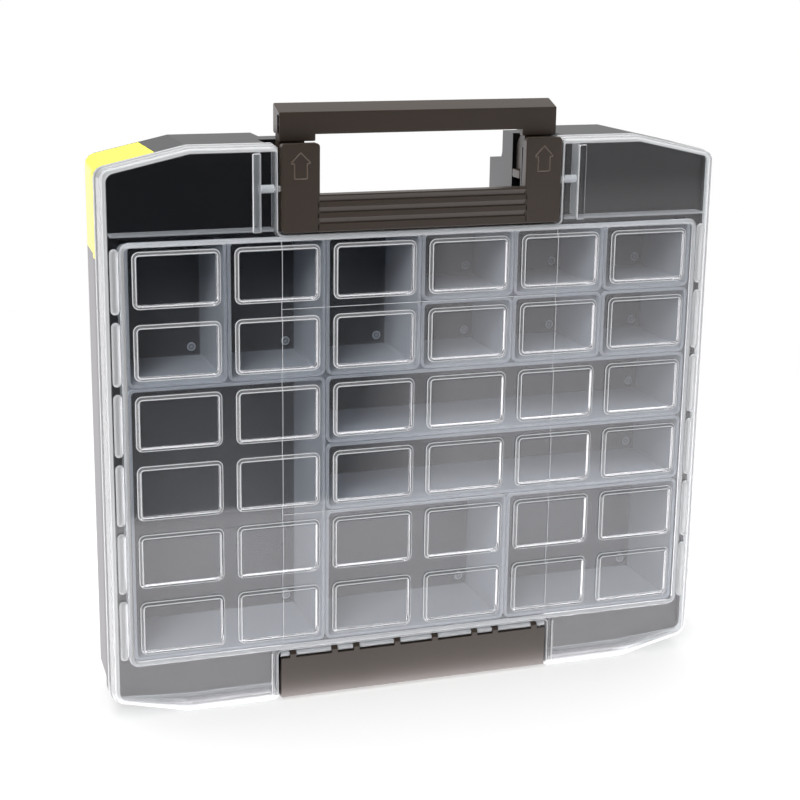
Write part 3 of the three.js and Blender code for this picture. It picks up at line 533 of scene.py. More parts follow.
def lid_skirt(v, wall):
    """Rings from the seam to the face. Outside, a band along the seam stands out by a small step. From
    there the sides and ends draw in evenly, with two rings where the lower edge's relief begins. The front
    edge is a quarter round: at angle a it is drawn in by r (1 - cos a) and stands r (1 - sin a) behind the
    face."""
    y_face = v["face"] + wall
    edge = LID_EDGE - 0.6 * wall
    rings = [lid_ring(v, wall, 0.0, 0.0, v["seam"])]
    # Frost round the skirt paints a whitish band along the lid's edge: partly a duller finish, partly painted
    # highlight
    frost = [0.6]
    y_start, side, end = v["seam"], 0.0, 0.0
    if wall == 0:
        rings.append(lid_ring(v, 0.0, 0.0, 0.0, v["seam"] - SEAM_BAND))
        y_start, (side, end) = v["seam"] - SEAM_BAND - SEAM_STEP, SEAM_DRAFTS
        rings.append(lid_ring(v, 0.0, side, end, y_start))
        frost += [0.6, 0.3]
    for y in (RELIEF_DEPTHS[1], RELIEF_DEPTHS[0]):
        share = (y_start - y) / (y_start - y_face - edge)
        rings.append(lid_ring(v, wall, side + (LID_DRAFT - side) * share, end + (END_DRAFT - end) * share, y))
        frost.append(0.3)
    for angle in np.linspace(0, math.pi / 2, 6):
        out = 1 - math.cos(angle)
        extra = (edge - NOTCH_EDGE) * out
        rings.append(lid_ring(v, wall + NOTCH_EDGE * out, LID_DRAFT + extra, END_DRAFT + extra,
                              y_face + edge * (1 - math.sin(angle))))
        frost.append(0.3 + 0.5 * out)
    rings.append(lid_ring(v, wall + NOTCH_EDGE + EDGE_FRINGE, LID_DRAFT + edge - NOTCH_EDGE,
                          END_DRAFT + edge - NOTCH_EDGE, y_face))
    frost.append(0.0)
    return rings, frost if wall == 0 else [0.0] * len(frost)


def pad(corners, profile, y_root):
    """A raised pad: a profile of (drawn in, rise) pairs carried round its outline."""
    return [ring_points(rounded(drawn_in(corners, inset)), y_root - rise) for inset, rise in profile]


WINDOW_PROFILE = [(0.0, 0.0), (0.3, 0.06), (0.6, 0.24), (0.85, 0.5),
                  (2.1, 1.55), (2.4, 1.78), (2.75, 1.93), (3.2, 2.0)]
# The white lines at a window's bends are painted highlights, partly a duller mould finish too
WINDOW_FROST_AND_HIGHLIGHT = [0.0, 0.7, 1.0, 0.2, 0.2, 0.9, 0.8, 0.0]


def window_profile(sizes, wall):
    """The window's S-shaped side. Its inner face is the same curve, drawn in by half the wall."""
    scale = sizes.window_rise / WINDOW_PROFILE[-1][1]
    return [(inset + wall * 0.5, rise * scale) for inset, rise in WINDOW_PROFILE]


def round_profile(half, rise, wall, steps=6):
    """Half of a half-ellipse: at angle a it is drawn in by half (1 - cos a) and rises by rise sin a."""
    angles = np.linspace(0, math.pi / 2, steps + 1)[:-1]
    inner = half - wall * 0.5
    return [(wall * 0.5 + inner * (1 - math.cos(a)), rise * math.sin(a)) for a in angles]


def window_centres(sizes, v):
    """Centres (x, z) of the windows, row after row from the top."""
    return [(-v["grid_half_width"] + (c + 0.5) * sizes.column_pitch,
             v["grid_high"] - (r + 0.5) * sizes.row_pitch) for r in range(6) for c in range(6)]


BEAD_PLACE = 10.0
BEAD_WIDTH = 6.2
BEAD_RISE = 1.7
BEAD_NOTCH = 5.0
# Frost on beads, ribs and the ridge paints their white lines: partly a duller finish, partly painted
# highlight
BEAD_FROST = np.array([0.0, 0.5, 0.6, 0.6, 0.5, 0.5])
RIDGE_FROST = 0.5
RIDGE_WIDTH = 4.0
RIDGE_RISE = 1.2
RIDGE_GAP = 0.2
RIDGE_TOP_GAP = 0.8
RIDGE_LOW_GAP = 3.4
RIDGE_RADIUS = 7.0
TOP_RIB_ENDS = (2.0, 5.5)
TOP_RIB_PLACE = 121.0
TOP_RIB_WIDTH = 6.0
TOP_RIB_PROFILE = [(0.0, 0.0), (0.1, 0.7), (0.3, 1.2), (0.9, 1.4), (1.6, 1.4)]
TOP_RIB_FROST = np.array([0.0, 0.55, 0.6, 0.0, 0.0])
LOW_RIB_FOOT = 5.0
LOW_RIB_GAP = 5.0
LOW_RIB_WIDTH = 1.8
LOW_RIB_RISE = 1.4


def lid_sheet(surface, sizes, v, wall):
    """One face of the lid: the skirt, the raised windows, beads, ribs and ridge, and the flat face between
    them in triangles. wall is 0 for the outside and the thickness for the inside. Returns the number of the
    skirt's first point and how many its first ring has."""
    y_face = v["face"] + wall
    outside = 1.0 if wall == 0 else 0.0
    skirt, frost = lid_skirt(v, wall)
    start = surface.count
    count = len(skirt[0])
    surface.add(np.concatenate(skirt), grid_faces(len(skirt), count), ring_frost(frost, count))

    pads = []
    for cx, cz in window_centres(sizes, v):
        corners = rectangle(cx, cz, sizes.window_width, sizes.window_height, sizes.window_radius)
        pads.append((corners, window_profile(sizes, wall), np.array(WINDOW_FROST_AND_HIGHLIGHT) * outside))
    outer_pads = []
    for side in (-1, 1):
        x = side * (v["half_width"] - BEAD_PLACE)
        for row in range(6):
            cz = v["grid_low"] + (row + 0.5) * sizes.row_pitch
            corners = rectangle(x, cz, BEAD_WIDTH, sizes.row_pitch - BEAD_NOTCH, BEAD_WIDTH / 2 - 0.05)
            outer_pads.append((corners, round_profile(BEAD_WIDTH / 2, BEAD_RISE, wall), outside * BEAD_FROST))
    if wall == 0:
        foot, head = v["latch_floor"] + TOP_RIB_ENDS[0], v["top"] - TOP_RIB_ENDS[1]
        low_foot, low_head = LOW_RIB_FOOT, v["hinge_top"]
        for side in (-1, 1):
            corners = rectangle(side * TOP_RIB_PLACE, (foot + head) / 2, TOP_RIB_WIDTH, head - foot, 1.0)
            outer_pads.append((corners, TOP_RIB_PROFILE, TOP_RIB_FROST))
            corners = rectangle(side * (v["hinge_half"] + LOW_RIB_GAP), (low_foot + low_head) / 2,
                                LOW_RIB_WIDTH, low_head - low_foot, LOW_RIB_WIDTH / 2 - 0.05)
            outer_pads.append((corners, round_profile(LOW_RIB_WIDTH / 2, LOW_RIB_RISE, 0), BEAD_FROST))

    def fill(outline, holes):
        lines = [[Vector((x, z, 0.0)) for x, _, z in line] for line in [outline] + holes]
        surface.add(np.concatenate([outline] + holes), tessellate_polygon(lines))

    def raise_pads(chosen):
        roots = []
        for corners, profile, shares in chosen:
            rings = pad(corners, profile, y_face)
            roots.append(rings[0])
            surface.add(*loft(rings, cap_first=False), ring_frost(shares, len(rings[0])))
        return roots

    if wall > 0:
        fill(skirt[-1], raise_pads(pads + outer_pads))
        return start, count
    ridge_high = v["latch_floor"] - RIDGE_TOP_GAP
    ridge_low = v["grid_low"] - RIDGE_LOW_GAP
    ridge_half = v["half_width"] - BEAD_PLACE - BEAD_WIDTH / 2 - RIDGE_GAP
    ridge = rectangle(0, (ridge_high + ridge_low) / 2, 2 * ridge_half, ridge_high - ridge_low, RIDGE_RADIUS)
    angles = np.linspace(0, math.pi, 9)
    ridge_rings = [ring_points(rounded(drawn_in(ridge, RIDGE_WIDTH / 2 * (1 - math.cos(a)))),
                               y_face - RIDGE_RISE * math.sin(a)) for a in angles]
    surface.add(np.concatenate(ridge_rings), grid_faces(len(ridge_rings), len(ridge_rings[0])),
                ring_frost(RIDGE_FROST * np.sin(angles), len(ridge_rings[0])))
    fill(ridge_rings[-1], raise_pads(pads))
    fill(skirt[-1], raise_pads(outer_pads) + [ridge_rings[0]])
    return start, count


WALL_FROST = 0.35
LID_BACK = 2.03
RING_GAP = 3.2
RING_TOP_GAP = 3.3
RING_WALL = 1.5
LEDGE_ENDS = (3.0, 8.0)
LEDGE_RISE = 2.5
LEDGE_WALL = 1.6
RIB_WALL = 1.2


def lid_walls(surface, v):
    """Clear walls inside the lid: a ring round the compartments' mouths, a ledge below each corner window,
    and a wall behind each rib beside the latch."""
    y0 = v["face"] + LID_BACK
    y1 = v["seam"] - 1.2

    def ring_wall(corners, thickness):
        levels = [(0.15, y0), (0, y0 + 0.3), (0.12, y1 - 0.3), (0.3, y1)]
        outer = [ring_points(rounded(drawn_in(corners, inset)), y) for inset, y in levels]
        inner = [ring_points(rounded(drawn_in(corners, thickness - inset)), y)
                 for inset, y in reversed(levels)]
        surface.add(*closed_sweep(outer + inner), WALL_FROST)

    def bar(x0, x1, z0, z1):
        corners = rectangle((x0 + x1) / 2, (z0 + z1) / 2, x1 - x0, z1 - z0, 0.5)
        surface.add(*loft([ring_points(rounded(corners, 3), y) for y in (y0, y1)]), WALL_FROST)

    half = v["grid_half_width"] + RING_GAP
    low, high = v["grid_low"] - RING_GAP, v["latch_floor"] - RING_TOP_GAP
    ring_wall(rectangle(0, (low + high) / 2, 2 * half, high - low, 5.0), RING_WALL)
    for side in (-1, 1):
        near = v["latch_half"] + LEDGE_ENDS[0]
        far = v["half_width"] - LEDGE_ENDS[1]
        level = v["latch_floor"] + LEDGE_RISE
        bar(*sorted((side * near, side * far)), level, level + LEDGE_WALL)
        near = TOP_RIB_PLACE - TOP_RIB_WIDTH / 2
        bar(*sorted((side * near, side * (near + RIB_WALL))), level + 2.2, v["top"] - 4)


def rod_rings(radius, x0, x1, y, z, edge=0.3, count=24):
    """A rod along X with softened ends."""
    angles = np.arange(count) * 2 * math.pi / count
    rings = []
    for x, r in ((x0, radius - edge), (x0 + edge, radius), (x1 - edge, radius), (x1, radius - edge)):
        rings.append(np.column_stack([np.full(count, x), y + r * np.cos(angles), z + r * np.sin(angles)]))
    return rings


KNUCKLE_PLACES = [15.0, 47.0, 64.0, 96.0]
KNUCKLE_HALF = 2.8
BARREL_RADIUS = 2.1
BARREL_BORE = 1.2
BARREL_SIDES = 24
UPPER_AXIS_HEIGHT = 36.0


def lid_barrels(surface, v):
    """The lid's hinge barrels between the plate's narrow knuckles."""
    places = sorted([-x for x in KNUCKLE_PLACES] + KNUCKLE_PLACES)
    edges = [HINGE_LOW[0]]
    for x in places:
        edges += [x - KNUCKLE_HALF, x + KNUCKLE_HALF]
    edges.append(HINGE_HIGH[0])
    y = v["face"] + BARREL_RADIUS
    angles = np.arange(BARREL_SIDES) * 2 * math.pi / BARREL_SIDES
    for x0, x1 in zip(edges[::2], edges[1::2]):
        rings = []
        for x, r in ((x0, BARREL_BORE), (x0, BARREL_RADIUS), (x1, BARREL_RADIUS), (x1, BARREL_BORE),
                     (x0, BARREL_BORE)):
            rings.append(np.column_stack([np.full(BARREL_SIDES, x), y + r * np.cos(angles),
                                          UPPER_AXIS_HEIGHT + r * np.sin(angles)]))
        surface.add(np.concatenate(rings), grid_faces(len(rings), BARREL_SIDES), WALL_FROST)


STUB_HEIGHT = 379.0
STUB_RADIUS = 2.3
STUB_GRIP = 3.0
BOSS_GAP = 2.05
BOSS_RADIUS = 2.9
BOSS_FROST = 1.0


def lid_stubs(surface, v):
    """The two stubs that the latch rocks on, and behind the lid's face the boss that carries each."""
    y = LATCH_LOW[1] + LATCH_DEPTH / 2
    boss_y = v["face"] + BOSS_GAP + BOSS_RADIUS
    for side in (-1, 1):
        near, far = LATCH_HIGH[0] - STUB_GRIP, v["latch_half"] - 0.05
        x0, x1 = sorted((side * near, side * far))
        surface.add(*loft(rod_rings(STUB_RADIUS, x0, x1, y, STUB_HEIGHT)), WALL_FROST)
        near, far = v["latch_half"] + BOSS_GAP, TOP_RIB_PLACE - TOP_RIB_WIDTH / 2
        x0, x1 = sorted((side * near, side * far))
        surface.add(*loft(rod_rings(BOSS_RADIUS, x0, x1, boss_y, STUB_HEIGHT)), BOSS_FROST)


def make_lid(sizes):
    """The clear lid: two sheets a wall apart, joined at the seam, with its walls, barrels and stubs."""
    v = lid_values(sizes)
    surface = Surface()
    outer, count = lid_sheet(surface, sizes, v, 0.0)
    inner, _ = lid_sheet(surface, sizes, v, sizes.lid_wall)
    rim = [[outer + i, outer + (i + 1) % count, inner + (i + 1) % count, inner + i] for i in range(count)]
    surface.faces.extend([tuple(face) for face in rim])
    lid_walls(surface, v)
    raise_lower_edge(surface)
    lid_barrels(surface, v)
    lid_stubs(surface, v)
    surface.piece("clear_lid", "clear_polycarbonate", "lid", ["lid"], 38.0)


# The lines' frost white is partly a painted highlight on their low ridges
PANEL_LINE_FROST = 0.8
PANEL_HALF = 103.7
LINE_HALF = 0.2
LINE_RISE = 0.1
LINE_SINK = 0.03
LINE_STEP = 0.6


def window_height(sizes, v, x, z):
    """How far the lid stands out of its face at (x, z). The distance in from a window's rounded outline is
    r - |q| - min(max(q), 0), where q is how far the point lies past the corner's centre, and the window's
    profile turns it into a height."""
    column = np.floor((x + v["grid_half_width"]) / sizes.column_pitch) + 0.5
    row = np.floor((z - v["grid_low"]) / sizes.row_pitch) + 0.5
    r = sizes.window_radius
    qx = np.abs(x + v["grid_half_width"] - column * sizes.column_pitch) - sizes.window_width / 2 + r
    qz = np.abs(z - v["grid_low"] - row * sizes.row_pitch) - sizes.window_height / 2 + r
    inward = r - np.hypot(np.maximum(qx, 0), np.maximum(qz, 0)) - np.minimum(np.maximum(qx, qz), 0)
    profile = np.array(window_profile(sizes, 0.0))
    return np.interp(inward, profile[:, 0], profile[:, 1])


def make_panel_lines(sizes):
    """The fine raised lines that mould inserts leave round three panels of the lid: each is a low ridge
    whose height follows the windows that it crosses."""
    v = lid_values(sizes)
    levels = [v["grid_low"], v["grid_low"] + 2 * sizes.row_pitch, v["grid_low"] + 5 * sizes.row_pitch,
              v["grid_high"] - 1]
    surface = Surface()
    lines = [((side * PANEL_HALF, levels[0]), (side * PANEL_HALF, levels[-1])) for side in (-1, 1)]
    lines += [((-PANEL_HALF, z), (PANEL_HALF, z)) for z in levels[:3]]
    for (x0, z0), (x1, z1) in lines:
        count = int(math.hypot(x1 - x0, z1 - z0) / LINE_STEP)
        t = np.linspace(0, 1, count)
        across = np.array([z1 - z0, x1 - x0]) / math.hypot(x1 - x0, z1 - z0)
        rings = []
        for step, rise in ((-1, -LINE_SINK), (-0.5, LINE_RISE), (0.5, LINE_RISE), (1, -LINE_SINK)):
            x = x0 + (x1 - x0) * t + step * LINE_HALF * across[0]
            z = z0 + (z1 - z0) * t + step * LINE_HALF * across[1]
            rings.append(np.column_stack([x, v["face"] - window_height(sizes, v, x, z) - rise, z]))
        rings = [np.array(ring) for ring in zip(*rings)]
        surface.add(*loft(rings), PANEL_LINE_FROST)
    surface.piece("panel_lines", "clear_polycarbonate", "lid", smooth_degrees=60.0)


# Compartments

def insert_nodes():
    """Names of the loose compartments' nodes, in order."""
    names = [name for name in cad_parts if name.startswith("insert_")]
    return sorted(names, key=lambda name: int(name.split("_")[1]))


def insert_profile(sizes, y_mouth, y_foot):
    """A compartment's section from the outside of its foot, up its outside, over the lip and down inside."""
    lip, wall = sizes.insert_lip, sizes.insert_wall
    foot = lip + 1.4
    inside = foot + wall
    return [
        (foot + 2.4, y_foot), (foot + 0.7, y_foot - 0.45), (foot, y_foot - 2.0),
        (lip + 0.05, y_mouth + 3.6), (lip - 0.25, y_mouth + 3.1), (0.3, y_mouth + 3.0), (0.0, y_mouth + 2.7),
        (0.0, y_mouth + 0.45), (0.12, y_mouth + 0.12), (0.45, y_mouth), (lip + wall - 0.45, y_mouth),
        (lip + wall - 0.12, y_mouth + 0.12), (lip + wall, y_mouth + 0.5),
        (inside, y_foot - 3.4), (inside + 0.5, y_foot - 1.9), (inside + 2.2, y_foot - wall),
    ]


INSERT_FROST = [0.1, 0.1, 0.0, 0.0, 0.1, 0.3, 0.5, 0.5, 0.5, 0.5, 0.5, 0.4, 0.1, 0.0, 0.1, 0.0]
INSERT_RADIUS = 5.0
INSERT_FOOT_RADIUS = 1.6
MARK_INSET = 10.5
MARK_SIDES = 20
MARK_LIFT = 0.02
MARK_PROFILE = [(3.3, 0.0), (3.1, 0.5), (2.3, 0.6), (2.1, 0.2), (1.0, 0.1), (0.9, 0.5), (0.3, 0.5)]
MARK_FROST = [0.4, 0.7, 0.7, 0.0, 0.0, 0.6, 0.6]


def make_compartment(sizes, node):
    """One loose compartment: its section carried round a rectangle with round corners, and the round mark
    that the mould's gate leaves in each floor."""
    low, high = node_box(node)
    corners = rectangle((low[0] + high[0]) / 2, (low[2] + high[2]) / 2, high[0] - low[0], high[2] - low[2],
                        INSERT_RADIUS)
    rings = []
    for inset, y in insert_profile(sizes, low[1], high[1]):
        radius = max(INSERT_RADIUS - inset, INSERT_FOOT_RADIUS)
        drawn = [(x, z, radius) for x, z, _ in drawn_in(corners, inset)]
        rings.append(ring_points(rounded(drawn, 4), y))
    surface = Surface()
    surface.add(*loft(rings), ring_frost(INSERT_FROST, len(rings[0])))
    y_floor = high[1] - sizes.insert_wall - MARK_LIFT
    angles = np.arange(MARK_SIDES) * 2 * math.pi / MARK_SIDES
    mark_x = high[0] - MARK_INSET
    mark_z = low[2] + MARK_INSET
    mark = []
    for radius, rise in MARK_PROFILE:
        circle = np.column_stack([mark_x + radius * np.cos(angles), mark_z + radius * np.sin(angles)])
        mark.append(ring_points(circle, y_floor - rise))
    surface.add(*loft(mark), ring_frost(MARK_FROST, MARK_SIDES))
    surface.piece("compartment_" + node.split("_")[1], "natural_polypropylene", "case", [node],
                  35.0)


# Pieces whose shape comes from the frame, with softened edges

MERGE_GAP = 0.004
FLAT_DEGREES = 1.0
BEVEL_DEGREES = 35.0


def open_webs(work):
    """Takes out webs of no thickness. Such a web is a triangle whose corners all lie on a face that looks
    the other way: that face is split along the web's free side, and the two triangles go."""
    for web in [face for face in work.faces if len(face.verts) == 3]:
        a, b, c = web.verts
        for face in (set(a.link_faces) & set(b.link_faces) & set(c.link_faces)) - {web}:
            free = [pair for pair in ((a, b), (b, c), (c, a))
                    if not any(pair[0] in edge.verts and pair[1] in edge.verts for edge in face.edges)]
            if face.normal.dot(web.normal) > -0.999 or len(free) != 1:
                continue
            part, _ = bmesh.utils.face_split(face, *free[0])
            twin = part if set(part.verts) == set(web.verts) else face
            bmesh.ops.delete(work, geom=[web, twin], context="FACES")
            break


def softened(node, name, material, body, bevel, smooth_degrees=32.0):
    """A copy of a node's mesh with its triangles merged into flat faces and its edges rounded."""
    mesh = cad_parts[node].data.copy()
    mesh.materials.clear()
    work = bmesh.new()
    work.from_mesh(mesh)
    bmesh.ops.remove_doubles(work, verts=work.verts, dist=MERGE_GAP * MM)
    bmesh.ops.dissolve_limit(work, angle_limit=math.radians(FLAT_DEGREES), verts=work.verts, edges=work.edges)
    open_webs(work)
    work.to_mesh(mesh)
    work.free()
    thing = dressed(name, mesh, material, body, [node], smooth_degrees)
    edge = thing.modifiers.new("softened edges", "BEVEL")
    edge.width = bevel * MM
    edge.segments = 2
    edge.limit_method = "ANGLE"
    edge.angle_limit = math.radians(BEVEL_DEGREES)
    edge.use_clamp_overlap = True
    edge.harden_normals = True
    flatten(thing)
    return thing


CLIP_TOP_END = 188.0
CLIP_LOW_END = 333.5
CLIP_WALL = 1.6
FLANGE_DEPTH = 8.0
FLANGE_STEP = 2.0
BACK_DRAFT = 4.5


def make_clip():
    """The corner clip: a strip whose path runs along the top's slope, round the corner and down the side.
    At each depth the tray's side is drawn in by its step and its draft, and the strip's section runs out
    along its outside and back along its inside."""
    low, high = node_box("corner_clip")
    flange, back = TRAY_FRONT + FLANGE_DEPTH, TRAY_HIGH[1]
    steep = TOP_SLOPE_DROP / (TRAY_HIGH[0] - TOP_FLAT_HALF)
    slope = Vector((-1.0, -steep)).normalized()
    inward = Vector((-slope.y, slope.x))

    def path(inset, y):
        side = float(np.interp(y, [flange, flange + FLANGE_STEP, back], [0.0, FLANGE_STEP, BACK_DRAFT]))
        x = -TRAY_HIGH[0] + side
        top = TRAY_HIGH[2] - TOP_SLOPE_DROP + side * steep
        end = Vector((-CLIP_TOP_END, TRAY_HIGH[2] - (CLIP_TOP_END - TOP_FLAT_HALF) * steep))
        corners = [(end.x, end.y, 0.3), (x, top, SIDE_CORNER_RADIUS),
                   (x, CLIP_LOW_END, 0.3), (end.x, CLIP_LOW_END, 0.3)]
        arc = rounded(drawn_in(corners, inset), 10)[11:22]
        first = np.array([[end.x + inward.x * inset, end.y + inward.y * inset]])
        last = np.array([[x + inset, CLIP_LOW_END]])
        return ring_points(np.concatenate([first, arc, last]), y)

    y0, y1 = low[1], high[1]
    levels = sorted(np.linspace(y0 + 0.4, y1 - 0.4, 5).tolist() + [flange, flange + FLANGE_STEP])
    section = [(0.4, y0), (0.1, y0 + 0.1)] + [(0.0, y) for y in levels] + [(0.1, y1 - 0.1), (0.4, y1)]
    section += [(CLIP_WALL - 0.1, y1)] + [(CLIP_WALL, y) for y in reversed(levels)] + [(CLIP_WALL - 0.1, y0)]
    paths = [path(inset, y) for inset, y in section]
    rings = [np.array([line[i] for line in paths]) for i in range(len(paths[0]))]
    surface = Surface()
    surface.add(*loft(rings))
    surface.piece("clip", "yellow_abs", "case", ["corner_clip"], 40.0)


def swept_bar(section, half, edge):
    """A section of (y, z) corners carried along X between -half and half, drawn in at its ends."""
    rings = []
    for inset, x in ((edge, -half), (edge * 0.3, -half + edge * 0.3), (0.0, -half + edge),
                     (0.0, half - edge), (edge * 0.3, half - edge * 0.3), (edge, half)):
        outline = rounded(drawn_in(section, inset), 5)
        rings.append(np.column_stack([np.full(len(outline), x), outline]))
    return loft(rings)


def swept_side(section, x0, x1, edge):
    """The same bar between two places along X."""
    points, faces = swept_bar(section, (x1 - x0) / 2, edge)
    points[:, 0] += (x0 + x1) / 2
    return points, faces


GRIP_HALF = 103.0
GRIP_LOW = 415.0
GRIP_FACE_TOP = 430.4
GRIP_DEPTH = 16.6
LEG_NEAR, LEG_FAR = 82.4, 101.4
LEG_FRONT, LEG_REAR = -20.3, -5.1
FOOT_STEP = 2.9
FOOT_HEIGHT = 6.0
KNUCKLE_WIDTH = 26.0
KNUCKLE_LOW = 410.4
KNUCKLE_HIGH = 429.2
KNUCKLE_DEPTH = 5.9
GRIP_SET_BACK = 0.02
GUSSET_FOOT, GUSSET_TOP = 402.0, 409.5


def make_handle():
    """The grip bar, whose top rises to the back, and its two legs with a gusset behind and a knuckle in
    front, whose face runs on from the grip's."""
    low, high = HANDLE_LOW, HANDLE_HIGH
    rear, face = low[1] + GRIP_DEPTH, low[1] + GRIP_SET_BACK
    grip = [(face, GRIP_LOW, 0.8), (rear, GRIP_LOW, 2.0), (rear, high[2], 2.0), (face, GRIP_FACE_TOP, 0.8)]
    surface = Surface()
    surface.add(*swept_bar(grip, GRIP_HALF, 0.7))
    for side in (-1, 1):
        x0, x1 = sorted((side * LEG_NEAR, side * LEG_FAR))
        leg = [(LEG_FRONT, low[2] + 2, 0.6), (LEG_REAR, low[2] + 2, 0.6), (LEG_REAR, GUSSET_FOOT, 3.0),
               (rear, GUSSET_TOP, 3.0), (rear, GRIP_LOW + 3, 0.5), (LEG_FRONT, GRIP_LOW + 3, 0.5)]
        surface.add(*swept_side(leg, x0, x1, 0.6))
        foot = block_rings(x0 - FOOT_STEP, x1 + FOOT_STEP, LEG_FRONT, LEG_REAR, low[2], low[2] + FOOT_HEIGHT,
                           1.5, 0.5)
        surface.add(*loft(foot))
        x0, x1 = sorted((side * (GRIP_HALF - KNUCKLE_WIDTH), side * GRIP_HALF))
        knuckle = [(low[1], KNUCKLE_LOW, 0.8), (low[1] + KNUCKLE_DEPTH, KNUCKLE_LOW, 0.8),
                   (low[1] + KNUCKLE_DEPTH, KNUCKLE_HIGH, 0.1), (low[1], KNUCKLE_HIGH, 0.1)]
        surface.add(*swept_side(knuckle, x0, x1, 0.7))
    surface.piece("grip", "brown_abs", "handle", ["handle"], 35.0)


# Latch

LATCH_ARM_WIDTH = 27.5
LATCH_WALL = 2.4
LATCH_BAR_TOP = 374.5
LATCH_DEPTH = 9.0
LATCH_TOP_DEPTH = 5.9
LATCH_TAPER_START = 381.3
LATCH_STEPS = [369.7, 362.1, 354.5]
LATCH_STEP_DEPTH = 1.2
LATCH_STEP_SLOPE = 3.8
HOOK_HALF = 6.0
HOOK_REACH = 4.5
HOOK_NOSE = 1.6
ARROW = [(-4.5, -9.0), (4.5, -9.0), (4.5, 1.5), (7.4, 1.5), (0.0, 9.0), (-7.4, 1.5), (-4.5, 1.5)]
ARROW_CENTRE = 395.0
ARROW_SECTION = [(-0.5, -0.05), (-0.4, 0.2), (0.0, 0.3), (0.4, 0.2), (0.5, -0.05)]


def latch_bar_section():
    """The crossbar's section: a channel open at the back, whose front has three grip steps. Each step drops
    back by its depth and slopes out again below."""
    front, rear = LATCH_LOW[1], LATCH_LOW[1] + LATCH_DEPTH
    low, top, wall = LATCH_LOW[2], LATCH_BAR_TOP, LATCH_WALL
    line = [(rear, top, 0.3), (front, top, 0.8)]
    for z in LATCH_STEPS:
        line += [(front, z + LATCH_STEP_SLOPE, 0.2), (front + LATCH_STEP_DEPTH, z, 0.2),
                 (front, z - 0.1, 0.4)]
    inner = front + wall + LATCH_STEP_DEPTH
    line += [(front, low, 0.8), (rear, low, 0.3), (rear, low + wall, 0.3), (inner, low + wall, 0.8),
             (inner, top - wall, 0.8), (rear, top - wall, 0.3)]
    return line[::-1]


def make_latch():
    """The latch: two hollow press arms, each a cup whose wall goes back, over its rim and in again, the
    stepped crossbar between them, and a hook behind each arm. Above the pivot an arm's depth falls evenly
    from that of the bar to that of its top."""
    front, rear = LATCH_LOW[1], LATCH_LOW[1] + LATCH_DEPTH
    low, high, wall = LATCH_LOW[2], LATCH_HIGH[2], LATCH_WALL
    surface = Surface()
    profile = [(0.8, front), (0.25, front + 0.25), (0.0, front + 0.8), (0.0, rear - 0.3), (0.3, rear),
               (wall - 0.3, rear), (wall, rear - 0.3), (wall, front + wall)]
    inner = LATCH_HIGH[0] - LATCH_ARM_WIDTH
    for side in (-1, 1):
        centre = side * (inner + LATCH_ARM_WIDTH / 2)
        corners = rectangle(centre, (low + high) / 2, LATCH_ARM_WIDTH, high - low, 2.8)
        points, faces = loft([ring_points(rounded(drawn_in(corners, inset)), y) for inset, y in profile])
        depth = np.interp(points[:, 2], [LATCH_TAPER_START, high], [LATCH_DEPTH, LATCH_TOP_DEPTH])
        points[:, 1] = front + (points[:, 1] - front) * depth / LATCH_DEPTH
        surface.add(points, faces)
        z = low + wall
        tip, nose = rear + HOOK_REACH, z + wall + HOOK_NOSE
        hook = [(rear - wall, z, 0.3), (tip, z, 0.5), (tip, nose, 0.5), (tip - HOOK_NOSE, nose, 0.3),
                (tip - HOOK_NOSE, z + wall, 0.3), (rear - wall, z + wall, 0.3)]
        surface.add(*swept_side(hook, centre - HOOK_HALF, centre + HOOK_HALF, 0.3))
    surface.add(*swept_bar(latch_bar_section(), inner + 1.5, 0.1))
    surface.piece("rocker", "brown_abs", "latch", ["latch"], 30.0)


def make_arrows():
    """Raised arrow outlines on the press arms: each is a closed path with a low rounded section."""
    surface = Surface()
    y = LATCH_LOW[1]
    for side in (-1, 1):
        centre = side * (LATCH_HIGH[0] - LATCH_ARM_WIDTH / 2)
        corners = [(centre + x, ARROW_CENTRE + z, 0.5) for x, z in ARROW]
        surface.add(*closed_sweep([ring_points(rounded(drawn_in(corners, inset), 2), y - rise)
                                   for inset, rise in ARROW_SECTION]))
    # The arrows' lighter brown is a painted highlight on their raised lines
    surface.piece("latch_arrows", "rubbed_brown_abs", "latch", smooth_degrees=60.0)


# Stage

CAMERA_PLACE = (-417.7, -1198.2, 553.7)
CAMERA_TILT = 0.262562
CAMERA_TURN = -0.333273
CAMERA_ROLL = 0.0144887
CAMERA_LENS = 79.26
CAMERA_SENSOR = 36.0


def make_camera():
    """The camera at the photograph's place: turned about the upright, tilted, and rolled."""
    cos, sin = math.cos(CAMERA_ROLL), math.sin(CAMERA_ROLL)
    roll = np.array([[cos, -sin, 0], [sin, cos, 0], [0, 0, 1]])
    cos, sin = math.cos(CAMERA_TILT), math.sin(CAMERA_TILT)
    tilt = np.array([[1, 0, 0], [0, cos, -sin], [0, sin, cos]])
    cos, sin = math.cos(CAMERA_TURN), math.sin(CAMERA_TURN)
    turn = np.array([[cos, 0, sin], [0, 1, 0], [-sin, 0, cos]])
    axes = roll @ tilt @ turn
    right, down, ahead = [np.array([a[0], a[2], -a[1]]) for a in axes]
    camera = bpy.data.cameras.new("camera")
    camera.lens = CAMERA_LENS
    camera.sensor_width = CAMERA_SENSOR
    camera.clip_end = 100.0
    thing = bpy.data.objects.new("camera", camera)
    place = np.eye(4)
    place[:3, 0], place[:3, 1], place[:3, 2] = right, -down, -ahead
    place[:3, 3] = np.array(CAMERA_PLACE) * MM
    thing.matrix_world = Matrix(place.tolist())
    bpy.context.scene.collection.objects.link(thing)
    bpy.context.scene.camera = thing


